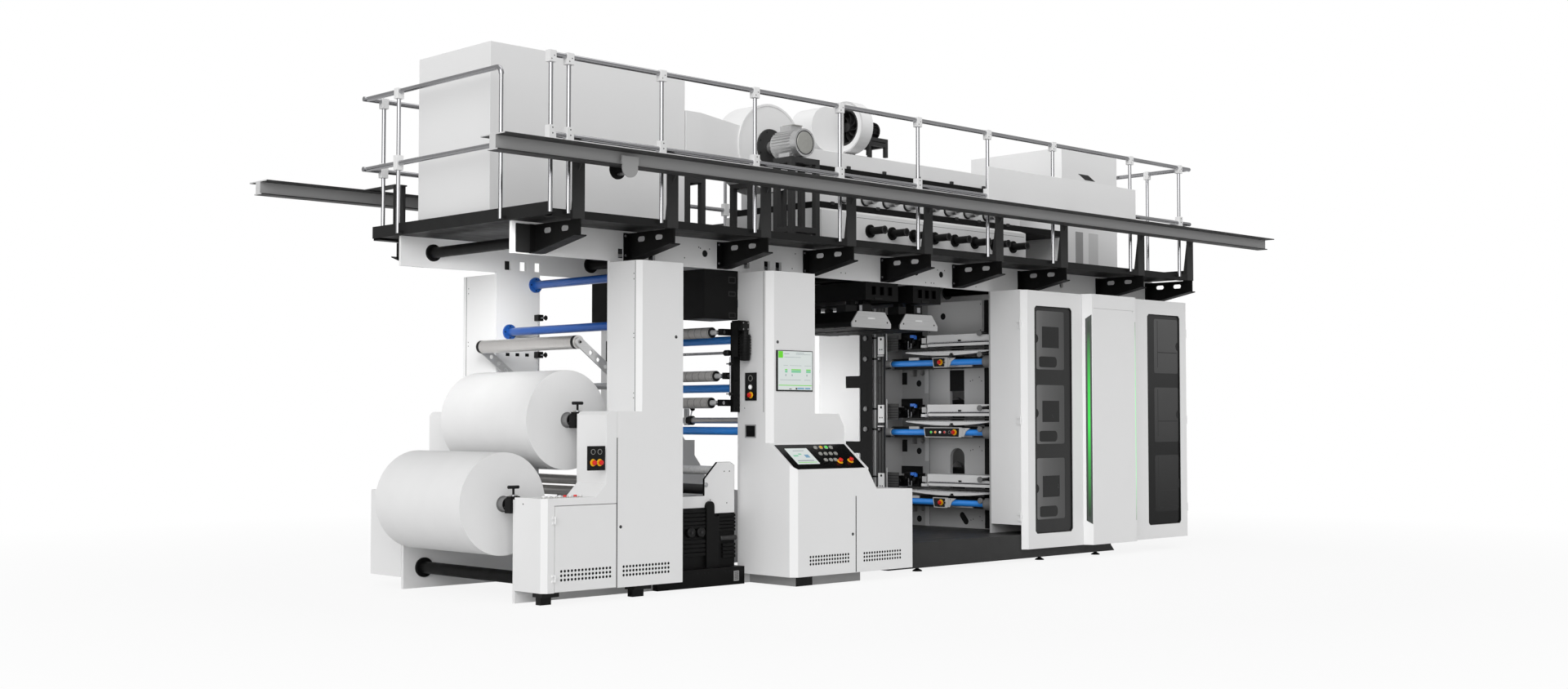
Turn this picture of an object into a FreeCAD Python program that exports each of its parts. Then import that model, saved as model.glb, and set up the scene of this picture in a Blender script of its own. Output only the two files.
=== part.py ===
import FreeCAD, Part
import math
import os
from FreeCAD import Vector

# Flexographic printing press: unwinder, infeed, operator's console, three-deck print unit, and a
# service platform above them with drying tunnels, blowers and a hoist beam on each side.
# Millimetres. +X runs from the unwinder to the print unit, -Y is the operator's side, +Z is up.
# The origin is on the floor, midway along the hoist beams and between the two side frames.

os.makedirs("parts", exist_ok=True)

# Clearances
bearing_gap = 0.05
seat_gap = 0.3
leaf_gap = 5.0
seam = 2.0

# Reels, and the width of the machine that follows from them
reel_r = 400.0
reel_half = 600.0
shaft_r = 30.0
chuck_r = 52.0
chuck_len = 60.0
saddle_w = 70.0
saddle_gap = 40.0
plate_t = 30.0
inner_y = reel_half + chuck_len + saddle_gap + saddle_w
plate_y = inner_y + plate_t

# Reach outward from the side plates
cabinet_depth = 370.0
drive_cabinet_depth = 510.0
desk_depth = 660.0
pan_reach = 365.0
door_reach = 425.0
drive_link_reach = 310.0
drive_reach = 800.0
front_walkway = 550.0
back_walkway = 364.0
beam_reach = 900.0
rail_out = 40.0
cabinet_y = plate_y + cabinet_depth
desk_y = plate_y + desk_depth
pan_y = plate_y + pan_reach
door_y = plate_y + door_reach
drive_y0 = plate_y + drive_link_reach
drive_y1 = plate_y + drive_reach
front_edge_y = plate_y + front_walkway
back_edge_y = plate_y + back_walkway
beam_y = plate_y + beam_reach
front_rail_y = front_edge_y + rail_out
back_rail_y = back_edge_y + rail_out

# Heights
frame_top = 2685.0
bridge_h = 250.0
deck_t = 45.0
bridge_top = frame_top + bridge_h
floor_z = bridge_top + deck_t
cabinet_z0 = 97.0
column_head = 15.0
column_top = frame_top - column_head
infeed_h = 150.0

# Stations along the machine
unwind_x0, unwind_x1 = -4310.0, -2935.0
unwind_column_w = 465.0
unwind_column_x = unwind_x1 - unwind_column_w
console_x0 = -1964.0
console_column_w = 546.0
desk_panel_w = 914.0
desk_w = 1490.0
console_x1 = console_x0 + console_column_w
panel_end_x = console_x0 + desk_panel_w
desk_x1 = console_x0 + desk_w
print_x0, print_x1 = 1462.0, 4345.0
deck_x0, deck_x1 = -4395.0, 4306.0
bridge_x0 = -4360.0

# Unwinder
lower_reel_x, lower_reel_z = -4282.0, 750.0
stack_gap = 94.0
stack_angle = math.radians(46.63)
stack_pitch = 2 * reel_r + stack_gap
upper_reel_x = lower_reel_x + stack_pitch * math.cos(stack_angle)
upper_reel_z = lower_reel_z + stack_pitch * math.sin(stack_angle)
low_step_z = lower_reel_z + 40.0
mid_step_z = upper_reel_z + 50.0
step_x = upper_reel_x - 32.0
step_bevel = 100.0
rider_r = 55.0
rider_lift = 169.0
rider_x = upper_reel_x + 50.0
rider_z = upper_reel_z + reel_r + rider_r + rider_lift
arm_shaft_r = 28.0
arm_shaft_gap = 118.0
arm_pivot_x = upper_reel_x + reel_r + arm_shaft_gap
arm_pivot_z = upper_reel_z + 280.0
arm_pin_r = 14.0

# Print unit
deck_count = 3
deck_pitch = 723.0
first_deck_z = 544.0
bar_r = 32.0
bar_x = print_x0 + 143.0
wall_x = print_x0 + 438.0
wall_t = 40.0
pan_z0 = 35.0
pan_h = 235.0
pan_z1 = pan_z0 + pan_h
door_z0 = 126.0
door_t = 36.0
door_corner = 50.0
panel_x0, panel_x1 = 2421.0, 3297.0
panel_rise = 90.0
panel_slope_w = 52.0
window_z0, window_z1 = 272.0, 2532.0

# Service platform
bracket_w = 115.0
bracket_tip = 22.0
bracket_x = (-4139.0, -3203.0, -2177.0, -1138.0, -110.0, 930.0, 1965.0, 3317.0, 4255.0)
channel_z0 = 2918.0
beam_half = 5170.0
beam_rise = 425.0
beam_h = 105.0
beam_w = 75.0
beam_flange_w = 300.0
beam_flange_t = 10.0
beam_z1 = floor_z + beam_rise
beam_z0 = beam_z1 - beam_h
handrail_r = 21.0
handpost_r = 17.0
handrail_h = 1145.0
midrail_h = 545.0
top_rail_z = floor_z + handrail_h
mid_rail_z = floor_z + midrail_h
rail_x0, rail_x1 = -4436.0, 4150.0
rail_end = 66.0
rail_posts = (-4270.0, -3358.0, -2347.0, -1331.0, -305.0, 699.0, 1720.0, 3055.0, 3975.0)
gate_y = -757.0


def box(x0, x1, y0, y1, z0, z1):
    return Part.makeBox(x1 - x0, y1 - y0, z1 - z0, Vector(x0, y0, z0))


def rod_x(r, y, z, x0, x1):
    return Part.makeCylinder(r, x1 - x0, Vector(x0, y, z), Vector(1, 0, 0))


def rod_y(r, x, z, y0, y1):
    return Part.makeCylinder(r, y1 - y0, Vector(x, y0, z), Vector(0, 1, 0))


def rod_z(r, x, y, z0, z1):
    return Part.makeCylinder(r, z1 - z0, Vector(x, y, z0), Vector(0, 0, 1))


def face_of(points):
    return Part.Face(Part.makePolygon(points + [points[0]]))


def prism_x(outline, x0, x1):
    """Outline given as (y, z) pairs, carried from x0 to x1."""
    return face_of([Vector(x0, y, z) for y, z in outline]).extrude(Vector(x1 - x0, 0, 0))


def prism_y(outline, y0, y1):
    """Outline given as (x, z) pairs, carried from y0 to y1."""
    return face_of([Vector(x, y0, z) for x, z in outline]).extrude(Vector(0, y1 - y0, 0))


def prism_z(outline, z0, z1):
    """Outline given as (x, y) pairs, carried from z0 to z1."""
    return face_of([Vector(x, y, z0) for x, y in outline]).extrude(Vector(0, 0, z1 - z0))


def across(shape):
    """The same piece on the drive side."""
    return shape.mirror(Vector(0, 0, 0), Vector(0, 1, 0))


def both(shape):
    return [shape, across(shape)]


def fuse(*shapes):
    return shapes[0].multiFuse(list(shapes[1:])).removeSplitter()


def slot_x(y, z, half, r, x0, x1):
    """An obround cut through a plate that stands across X."""
    ends = [rod_x(r, y + side * (half - r), z, x0, x1) for side in (-1, 1)]
    return fuse(box(x0, x1, y - half + r, y + half - r, z - r, z + r), *ends)


def arch_x(y, z0, z1, half, x0, x1):
    """A round-headed cut through a wall that stands across X."""
    return fuse(box(x0, x1, y - half, y + half, z0, z1 - half), rod_x(half, y, z1 - half, x0, x1))


def knuckle_hinge(x, y, z, height, r, fixed_straps, moving_straps):
    """Upright hinge: outer knuckles with their pin, and the middle knuckle; straps are plan boxes."""
    pin_r = r / 2
    third = height / 3
    fixed = [rod_z(pin_r, x, y, z, z + height)]
    for z0 in (z, z + 2 * third + seat_gap):
        z1 = z0 + third - seat_gap
        fixed.append(rod_z(r, x, y, z0, z1))
        fixed += [box(x0, x1, y0, y1, z0, z1) for x0, x1, y0, y1 in fixed_straps]
    moving = [rod_z(r, x, y, z + third, z + 2 * third)]
    moving += [box(x0, x1, y0, y1, z + third, z + 2 * third) for x0, x1, y0, y1 in moving_straps]
    bore = rod_z(pin_r + bearing_gap, x, y, z, z + height)
    return fuse(*fixed), fuse(*moving).cut(bore)


nodes = {}


def put(name, *shapes):
    for shape in shapes:
        nodes.setdefault(name, []).extend(shape if isinstance(shape, list) else [shape])


# Unwinder: side plates
def unwinder_plate():
    outline = [(unwind_x0, 0), (unwind_x1, 0), (unwind_x1, frame_top), (unwind_column_x, frame_top),
               (unwind_column_x, mid_step_z), (step_x, mid_step_z), (step_x, low_step_z + step_bevel),
               (step_x - step_bevel, low_step_z), (unwind_x0, low_step_z)]
    plate = prism_y(outline, -plate_y, -inner_y)
    return plate.cut(rod_y(arm_shaft_r + bearing_gap, arm_pivot_x, arm_pivot_z,
                           -inner_y - arm_seat, -inner_y + arm_seat))


arm_seat = 20.0
put("side_frames", both(unwinder_plate()))


# Unwinder: cabinets outside the plates, a low one and one that runs up to the bridge
cabinet_lap = 6.0
cabinet_x0 = unwind_x0 - cabinet_lap
cabinet_low_z = low_step_z + 18.0
cabinet_mid_z = mid_step_z + 19.0
seam_x = step_x + 88.0
cabinet_edge = 38.0
nose_lap = 20.0
nose_bevel = 30.0


def low_cabinet(depth):
    nose = step_x - nose_lap
    x1, face = seam_x - seam / 2, -plate_y - depth
    outline = [(cabinet_x0, cabinet_z0), (x1, cabinet_z0), (x1, cabinet_mid_z),
               (nose + nose_bevel, cabinet_mid_z), (nose, cabinet_mid_z - nose_bevel),
               (nose, cabinet_low_z + step_bevel), (nose - step_bevel, cabinet_low_z),
               (cabinet_x0, cabinet_low_z)]
    corner = prism_z([(cabinet_x0, face), (cabinet_x0 + cabinet_edge, face),
                      (cabinet_x0, face + cabinet_edge)], 0, cabinet_low_z)
    return prism_y(outline, face, -plate_y).cut(corner)


def tall_cabinet(depth):
    x0, face = seam_x + seam / 2, -plate_y - depth
    outline = [(x0, cabinet_z0), (unwind_x1, cabinet_z0), (unwind_x1, column_top),
               (unwind_column_x, column_top), (unwind_column_x, cabinet_mid_z), (x0, cabinet_mid_z)]
    corner = prism_z([(unwind_column_x, face), (unwind_column_x + cabinet_edge, face),
                      (unwind_column_x, face + cabinet_edge)], cabinet_mid_z, frame_top)
    return prism_y(outline, face, -plate_y).cut(corner)


# Unwinder: hinged door of the low cabinet
def unwinder_door(cabinet):
    margin, head = 96.0, 55.0
    x0, x1 = unwind_x0 + margin, seam_x - seam / 2
    z0, z1 = cabinet_z0, cabinet_low_z - head
    leaf_t = 22.0
    hinge_r, hinge_h, strap = 7.0, 60.0, 26.0
    cabinet = cabinet.cut(box(x0, x1, -cabinet_y, -cabinet_y + leaf_t + leaf_gap, z0, z1))
    door = box(x0 + leaf_gap, x1 - leaf_gap, -cabinet_y, -cabinet_y + leaf_t, z0 + leaf_gap, z1 - leaf_gap)
    pin_x, pin_y = x0 + leaf_gap / 2, -cabinet_y - hinge_r - seam
    for z in (z0 + 80, z1 - 140):
        fixed, moving = knuckle_hinge(pin_x, pin_y, z, hinge_h, hinge_r,
                                      [(pin_x - strap, pin_x, pin_y, -cabinet_y)],
                                      [(pin_x, pin_x + strap, pin_y, -cabinet_y)])
        cabinet = fuse(cabinet, fixed)
        door = fuse(door, moving)
    return cabinet, door


front_low, unwind_door = unwinder_door(low_cabinet(cabinet_depth))
put("unwind_cabinets", front_low, tall_cabinet(cabinet_depth))
put("unwind_cabinets", across(low_cabinet(drive_cabinet_depth)), across(tall_cabinet(drive_cabinet_depth)))
put("unwind_door", unwind_door)


# Reels: the paper on its core, and the air shaft with its chucks
def reel(x, z):
    end = inner_y - seam
    chucks = [rod_y(chuck_r, x, z, reel_half, reel_half + chuck_len),
              rod_y(chuck_r, x, z, -reel_half - chuck_len, -reel_half)]
    return fuse(rod_y(reel_r, x, z, -reel_half, reel_half), rod_y(shaft_r, x, z, -end, end), *chucks)


def saddle(x, z):
    """Shaft saddle bolted inside the plate, with its cap and T-handle."""
    y0, y1 = -inner_y, -inner_y + saddle_w
    mid = -inner_y + saddle_w / 2
    base = shaft_r + 35.0
    cap = shaft_r + 12.0
    block = box(x - base + 10, x + base + 5, y0, y1, z - base, z + cap)
    cover = box(x - cap, x + cap, y0 + 6, y1 - 6, z + cap, z + cap + 22)
    stem = rod_z(9.0, x, mid, z + cap + 22, z + cap + 86)
    handle = rod_x(11.0, mid, z + cap + 92, x - 48, x + 48)
    return fuse(block, cover, stem, handle).cut(rod_y(shaft_r + bearing_gap, x, z, y0 - 1, y1 + 1))


put("lower_reel", reel(lower_reel_x, lower_reel_z))
put("upper_reel", reel(upper_reel_x, upper_reel_z))
for reel_x, reel_z in ((lower_reel_x, lower_reel_z), (upper_reel_x, upper_reel_z)):
    put("reel_clamps", both(saddle(reel_x, reel_z)))


# Tie tubes with a round flange against each plate
def tie_tube(x, z, r, flange_r, flange_t):
    flanges = [rod_y(flange_r, x, z, -inner_y, -inner_y + flange_t),
               rod_y(flange_r, x, z, inner_y - flange_t, inner_y)]
    return fuse(rod_y(r, x, z, -inner_y, inner_y), *flanges)


bridge_tube_x = (-4049.0, -2371.0, 345.0, 708.0, 2650.0)
bridge_tube_z = frame_top + bridge_h / 2
put("dark_tie_tubes", tie_tube(unwind_x0 + 195, 169, 50, 82, 20))
put("dark_tie_tubes", [tie_tube(x, bridge_tube_z, 45, 72, 18) for x in bridge_tube_x])
blue_tube_at = ((unwind_x1 - 52, frame_top - 91), (unwind_column_x + 137, rider_z + 143)) + tuple(
    (console_x0 + 114, z) for z in (2415.0, 2098.0, 1675.0, 1302.0))
put("blue_tie_tubes", [tie_tube(x, z, 36, 68, 16) for x, z in blue_tube_at])


# Swing arm with its cross shaft, and the rider roller between its two plates
arm_t = 14.0
arm_y1 = inner_y - saddle_w - seam
arm_y0 = arm_y1 - arm_t
arm_half = 38.0


def arm_plate(y0, y1):
    dx, dz = rider_x - arm_pivot_x, rider_z - arm_pivot_z
    length = math.hypot(dx, dz)
    nx, nz = -dz / length * arm_half, dx / length * arm_half
    corners = [(arm_pivot_x + nx, arm_pivot_z + nz), (rider_x + nx, rider_z + nz),
               (rider_x - nx, rider_z - nz), (arm_pivot_x - nx, arm_pivot_z - nz)]
    plate = fuse(prism_y(corners, y0, y1), rod_y(arm_half, rider_x, rider_z, y0, y1),
                 rod_y(arm_half + arm_t, arm_pivot_x, arm_pivot_z, y0, y1))
    for share in (0.28, 0.44, 0.60, 0.76):
        plate = plate.cut(rod_y(arm_half / 2, arm_pivot_x + dx * share, arm_pivot_z + dz * share, y0, y1))
    return plate.cut(rod_y(arm_pin_r + bearing_gap, rider_x, rider_z, y0, y1))


arm_end = inner_y + arm_seat - seam
put("swing_arm", fuse(arm_plate(-arm_y1, -arm_y0), arm_plate(arm_y0, arm_y1),
                      rod_y(arm_shaft_r, arm_pivot_x, arm_pivot_z, -arm_end, arm_end)))
rider_end = arm_y0 - leaf_gap
rider_pin_end = arm_y1 + leaf_gap
put("rider_roller", fuse(rod_y(rider_r, rider_x, rider_z, -rider_end, rider_end),
                         rod_y(arm_pin_r, rider_x, rider_z, -rider_pin_end, rider_pin_end)))


# Bridge beams on top of the side plates, with square and round lightening holes
def bridge():
    y0, y1 = -plate_y, -inner_y
    plate = box(bridge_x0, print_x1, y0, y1, frame_top, bridge_top)
    hole, low = 35.0, frame_top + 27
    for x in (-3280.0, -3118.0, -2958.0, -1886.0, -1640.0, -1500.0):
        plate = plate.cut(box(x - hole, x + hole, y0, y1, low, low + 80))
    for x in bridge_tube_x:
        plate = plate.cut(rod_y(30.0, x, bridge_tube_z, y0, y1))
    return plate


put("bridge_beams", both(bridge()))

# Cross boxes under the bridge, and the web dryers that hang from them
cross_h = 169.0
cross_z0 = frame_top - cross_h
cross_boxes = ((-370.0, 80.0), (295.0, 700.0))
dryer_h = 150.0
dryer_drop = 111.0
dryer_z1 = cross_z0 - dryer_drop
dryer_z0 = dryer_z1 - dryer_h
dryer_spans = ((-557.0, -20.0), (107.0, 653.0))
dryer_cap_t = 12.0


def cross_box(x0, x1):
    """Folded box across the machine, open inside, with three square holes in each end."""
    wall, hole, hole_z, hole_h = 12.0, 28.0, 50.0, 80.0
    shell = box(x0, x1, -plate_y, plate_y, cross_z0, frame_top)
    shell = shell.cut(box(x0 + wall, x1 - wall, -plate_y + wall, plate_y - wall,
                          cross_z0 + wall, frame_top - wall))
    z0 = cross_z0 + hole_z
    for i in (1, 2, 3):
        x = x0 + (x1 - x0) / 4 * i
        shell = shell.cut(box(x - hole, x + hole, -plate_y, plate_y, z0, z0 + hole_h))
    return shell


def dryer_outline(x0, x1):
    foot, lip, slope = 10.0, 45.0, 85.0
    return [(x0, dryer_z0 + lip), (x0, dryer_z0 + foot), (x0 + foot, dryer_z0), (x1 - foot, dryer_z0),
            (x1, dryer_z0 + foot), (x1, dryer_z0 + lip), (x1 - slope, dryer_z1), (x0 + slope, dryer_z1)]


def web_dryer(x0, x1, cross_x0, cross_x1):
    body = prism_y(dryer_outline(x0, x1), -plate_y + dryer_cap_t, inner_y - 130)
    left, right = max(x0 + 100, cross_x0), min(x1 - 100, cross_x1)
    lug = 60.0
    hangers = [box(x, x + lug, y, y + lug, dryer_z1, cross_z0) for x in (left + 10, right - lug - 10)
               for y in (-reel_half, reel_half - 100)]
    return fuse(body, *hangers)


for (span_x0, span_x1), (cross_x0, cross_x1) in zip(dryer_spans, cross_boxes):
    put("web_dryers", cross_box(cross_x0, cross_x1), web_dryer(span_x0, span_x1, cross_x0, cross_x1))
    put("web_dryers", prism_y(dryer_outline(span_x0, span_x1), -plate_y, -plate_y + dryer_cap_t - seat_gap))

# Infeed base between the two columns, and the plinths under the console
infeed_y = plate_y + 60.0
put("machine_plinths", box(unwind_x1, console_x0, -infeed_y, infeed_y, 0, infeed_h))
desk_z0 = 86.0
put("machine_plinths", box(console_x0 + 120, panel_end_x, -desk_y + 100, -plate_y, 0, desk_z0))

# Infeed rollers in bearing arms on a rail, with the drives beside and above it
infeed_r = 47.0
infeed_shaft_r = 16.0
infeed_rolls = {"infeed_roller_top": (console_x0 - 145, 2154.0),
                "infeed_roller_middle": (console_x0 - 96, 1778.0),
                "infeed_roller_low": (console_x0 - 150, 1546.0)}
infeed_rail_x = console_x0 - 76.0
infeed_arm_w = 50.0
infeed_rail_t = plate_t + 8.0


def infeed_rail():
    """Upright rail on the column, with a bearing arm to each roller."""
    y0 = -plate_y
    y1 = y0 + infeed_rail_t
    rail = box(infeed_rail_x, console_x0, y0, y1, 1466, 2240)
    for x, z in infeed_rolls.values():
        arm = box(x - 30, infeed_rail_x + 30, y1, y1 + infeed_arm_w, z - 28, z + 28)
        rail = fuse(rail, arm.cut(rod_y(infeed_shaft_r + bearing_gap, x, z, y0, y1 + infeed_arm_w)))
    return rail


def infeed_gear():
    """Gear box and geared motor outside the plate."""
    case = box(console_x0 - 96, console_x0, -plate_y - 75, -plate_y, 1940, 2252)
    drive = rod_z(46.0, console_x0 - 48, -plate_y - 115, 1940, 2130)
    return fuse(case, drive, rod_z(30.0, console_x0 - 48, -plate_y - 115, 2130, 2160))


for name, (x, z) in infeed_rolls.items():
    shaft_end = inner_y - 12.0
    put(name, fuse(rod_y(infeed_r, x, z, -reel_half, reel_half),
                   rod_y(infeed_shaft_r, x, z, -shaft_end, shaft_end)))
infeed_cover_x = console_x0 - 386.0
infeed_cover_z = 2262.0
put("infeed_drives", both(infeed_rail().fuse(infeed_gear()).removeSplitter()))
put("infeed_drives", both(box(infeed_cover_x, console_x0 + seam, -inner_y, -inner_y + 340,
                              infeed_cover_z, frame_top)))


# Console: side plates, cabinet with its column, shoulder, sloping panel and steps
panel_low_z, panel_high_z = 982.0, 1204.0
shoulder_z = 1453.0
console_bevel = 51.0


def console_plate():
    x0 = console_x0 + seam
    outline = [(x0, 0), (desk_x1, 0), (desk_x1, 700), (panel_end_x + 150, 760), (panel_end_x + 20, 980),
               (console_x1, 1450), (console_x1, frame_top), (x0, frame_top)]
    return prism_y(outline, -plate_y, -inner_y)


def console():
    x0 = console_x0
    column = prism_z([(x0, -plate_y), (x0, -cabinet_y + console_bevel), (x0 + console_bevel, -cabinet_y),
                      (console_x1, -cabinet_y), (console_x1, -plate_y)], shoulder_z - 100, column_top)
    side = [(-plate_y, desk_z0), (-desk_y, desk_z0), (-desk_y, panel_low_z), (-cabinet_y, panel_high_z),
            (-cabinet_y, shoulder_z), (-plate_y, shoulder_z)]
    desk = prism_x(side, x0, panel_end_x)
    shoulder_cut = prism_y([(panel_end_x - 68, shoulder_z), (panel_end_x - 3, shoulder_z - 111),
                            (panel_end_x, shoulder_z - 111), (panel_end_x, shoulder_z)], -desk_y, -plate_y)
    wing = prism_y([(panel_end_x, desk_z0), (desk_x1, desk_z0), (desk_x1, 788), (panel_end_x + 110, 800),
                    (panel_end_x + 90, 825), (panel_end_x, 962)], -desk_y, -plate_y)
    body = fuse(column, desk.cut(shoulder_cut), wing)
    low_edge = prism_z([(x0, -desk_y), (x0 + console_bevel, -desk_y), (x0, -desk_y + console_bevel)],
                       0, panel_high_z)
    high_edge = prism_z([(x0, -cabinet_y), (x0 + console_bevel, -cabinet_y),
                         (x0, -cabinet_y + console_bevel)], panel_high_z, column_top)
    return body.cut(low_edge).cut(high_edge)


put("side_frames", both(console_plate()))
put("console_cabinet", console())


# Drive side: column behind the console, and the housing over the print unit's drives
def drive_column():
    x0, depth = console_x0, cabinet_y
    plan = [(x0, plate_y), (x0, depth - console_bevel), (x0 + console_bevel, depth)]
    low = prism_z(plan + [(console_x1 + 350, depth), (console_x1 + 350, plate_y)], desk_z0, panel_high_z)
    high = prism_z(plan + [(console_x1, depth), (console_x1, plate_y)], panel_high_z, column_top)
    return fuse(low, high)


def drive_housing():
    step = pan_y + leaf_gap
    outline = [(drive_y0, pan_z1 + leaf_gap), (step, pan_z1 + leaf_gap), (step, door_z0),
               (drive_y1, door_z0), (drive_y1, column_top), (drive_y0, column_top)]
    inset = 15.0
    link = box(print_x0 + inset, print_x1 - inset, plate_y, drive_y0, pan_z1 + 60, frame_top - 35)
    return fuse(prism_x(outline, print_x0, print_x1), link)


put("drive_side_cabinets", drive_column(), drive_housing())

# Infeed stand with its cheeks, cross beams and lower rollers
cheek_w = 20.0
stand_x = console_x0 - 136.0
stand_beam_y = inner_y - cheek_w
infeed_bearing_z = 712.0


def infeed_cheek():
    """Outer cheek with a rounded head, and the wider inner plate that carries the rollers."""
    head_r = 45.0
    head_x = stand_x - 200.0
    outer = box(head_x - head_r, stand_x - 100, -plate_y, -inner_y, infeed_h, infeed_bearing_z - 132)
    neck = box(head_x - head_r, head_x + head_r, -plate_y, -inner_y, infeed_h, infeed_bearing_z - head_r)
    head = rod_y(head_r, head_x, infeed_bearing_z - head_r, -plate_y, -inner_y)
    inner = prism_y([(stand_x - 800, infeed_h), (stand_x + 100, infeed_h), (stand_x + 100, 1010),
                     (stand_x + 50, 1040), (stand_x - 100, 1040), (stand_x - 245, 900), (stand_x - 245, 760),
                     (stand_x - 600, 760), (stand_x - 800, 560)], -inner_y, -stand_beam_y)
    return fuse(outer, neck, head, inner)


put("infeed_stand", both(infeed_cheek()))
for z0, z1 in ((230.0, 360.0), (480.0, 592.0)):
    beam = box(stand_x - 90, stand_x + 100, -stand_beam_y, stand_beam_y, z0, z1)
    rib = box(stand_x - 50, stand_x + 60, -stand_beam_y, stand_beam_y, z1, z1 + 20)
    put("infeed_stand", fuse(beam, rib))
for z, r in ((964.0, 38.0), (800.0, 45.0), (675.0, 36.0)):
    put("web_rollers", rod_y(r, stand_x, z, -stand_beam_y, stand_beam_y))
for x, z, r in ((console_x0 + 214, 1394.0, 26.0), (unwind_column_x + 100, 905.0, 40.0),
                (unwind_column_x + 100, 813.0, 40.0)):
    put("web_rollers", rod_y(r, x, z, -inner_y, inner_y))


# Base pan under the print unit on levelling feet
foot_x = (0.0, 1850.0, 2800.0)
foot_inset = 65.0
foot_r, foot_pad_t, screw_r = 40.0, 10.0, 14.0


def levelling_foot(x, y):
    """Pad with a coned back, and the screw that lifts the pan."""
    cone = Part.makeCone(foot_r, screw_r, foot_pad_t, Vector(x, y, foot_pad_t))
    return fuse(rod_z(foot_r, x, y, 0, foot_pad_t), cone, rod_z(screw_r, x, y, foot_pad_t, pan_z0))


def base_pan():
    x0, x1, bevel = desk_x1 + leaf_gap, 3047.0, 62.0
    pan = prism_y([(x0, pan_z0), (x1, pan_z0), (x1 - bevel, pan_z0 + bevel), (x1 - bevel, pan_z1),
                   (x0, pan_z1)], -pan_y, pan_y)
    feet = [levelling_foot(x, side * (pan_y - foot_inset)) for x in foot_x for side in (-1, 1)]
    return fuse(pan, *feet)


put("machine_plinths", base_pan())

# Print unit: side frames with an arched window at each deck, and the wall behind the left decks
side_t = 14.0
deck_z = [first_deck_z + deck_pitch * i for i in range(deck_count)]


def print_frame():
    y0, y1 = -plate_y, -inner_y
    frame = box(print_x0 + side_t, print_x1 - side_t - 1, y0, y1, pan_z1, frame_top)
    arch_half, arch_x, arch_low, arch_high = 125.0, 2825.0, -130.0, 260.0
    bore_r, bore_x, bore_drop = 42.0, 2190.0, 10.0
    for z in deck_z:
        arch = fuse(box(arch_x - arch_half, arch_x + arch_half, y0, y1, z + arch_low, z + arch_high),
                    rod_y(arch_half, arch_x, z + arch_high, y0, y1))
        frame = frame.cut(arch).cut(rod_y(bore_r, bore_x, z - bore_drop, y0, y1))
    return frame


def inner_wall():
    x0, x1 = wall_x, wall_x + wall_t
    wall = box(x0, x1, -inner_y, inner_y, pan_z1, frame_top - deck_t)
    arch_half, arch_low, arch_high = 98.0, -60.0, 558.0
    bore_r, bore_y, bore_drop = 32.0, 480.0, 90.0
    slot_y0, slot_y1, slot_low, slot_high = 560.0, 640.0, -130.0, 10.0
    for z in deck_z:
        wall = wall.cut(arch_x(0, z + arch_low, z + arch_high, arch_half, x0, x1))
        wall = wall.cut(rod_x(bore_r, bore_y, z - bore_drop, x0, x1))
        wall = wall.cut(box(x0, x1, slot_y0, slot_y1, z + slot_low, z + slot_high))
    return wall


put("print_frames", both(print_frame()), inner_wall())


# Print unit: ink chamber and drip tray, blue bar, control box and rollers of each deck
chamber_z0, chamber_z1 = 184.0, 288.0
chamber_y1, chamber_lip = 160.0, 40.0
tray_low, tray_high, tray_lip = 72.0, 120.0, 12.0
tray_y0, tray_y1 = -inner_y + 60.0, 430.0
deck_lip_x = bar_x - 30.0


def ink_chamber(z):
    body = box(bar_x, wall_x, -inner_y, chamber_y1, z + chamber_z0, z + chamber_z1)
    lip = box(deck_lip_x, bar_x, tray_y0, chamber_y1 - chamber_lip,
              z + chamber_z0 - 16, z + chamber_z0 + 12)
    return fuse(body, lip)


def drip_tray(z):
    """Shallow tray with a bowed underside."""
    low, high = z + tray_high - tray_lip, z + tray_high
    start, middle, end = (Vector(deck_lip_x, y, h) for y, h in
                          ((tray_y0, low), ((tray_y0 + tray_y1) / 2, z + tray_low), (tray_y1, low)))
    bow = Part.Arc(start, middle, end).toShape()
    top = Part.makePolygon([end, Vector(deck_lip_x, tray_y1, high), Vector(deck_lip_x, tray_y0, high), start])
    return Part.Face(Part.Wire([bow] + top.Edges)).extrude(Vector(wall_x - deck_lip_x, 0, 0))


# Control boxes clamped on the bars: a long one on the middle deck, short ones above and below it
control_half_h, control_t, control_slant = 52.0, 30.0, 16.0
short_mid, short_half = -53.0, 88.0
long_mid, long_half = -88.0, 243.0
control_clamp = 40.0


def control_box(z, mid, half):
    front = bar_x - bar_r
    z0, z1 = z - control_half_h, z + control_half_h
    panel = prism_x([(mid - half, z0), (mid + half - control_slant, z0), (mid + half, z1),
                     (mid - half - control_slant / 2, z1)], front - control_t, front)
    clamp = box(front, bar_x + 10, mid - control_clamp, mid + control_clamp, z - control_clamp, z + 46)
    return fuse(panel, clamp).cut(rod_y(bar_r + seat_gap, bar_x, z, -inner_y, inner_y))


deck_roller_r, deck_roller_x = 60.0, bar_x + 155.0
drum_r, drum_x, drum_lift = 165.0, (2240.0, 3420.0), 180.0
for i, z in enumerate(deck_z):
    put("ink_decks", ink_chamber(z), drip_tray(z))
    put("blue_tie_tubes", rod_y(bar_r, bar_x, z, -inner_y, inner_y))
    middle_deck = i == deck_count // 2
    put("deck_control_boxes", control_box(z, long_mid, long_half) if middle_deck
        else control_box(z, short_mid, short_half))
    put("web_rollers", rod_y(deck_roller_r, deck_roller_x, z, -inner_y, inner_y))
    put("web_rollers", [rod_y(drum_r, x, z + drum_lift, -inner_y, inner_y) for x in drum_x])


# Print unit: enclosure on the operator's side with its raised centre panel
side_z0 = 364.0
skin = 20.0


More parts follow.
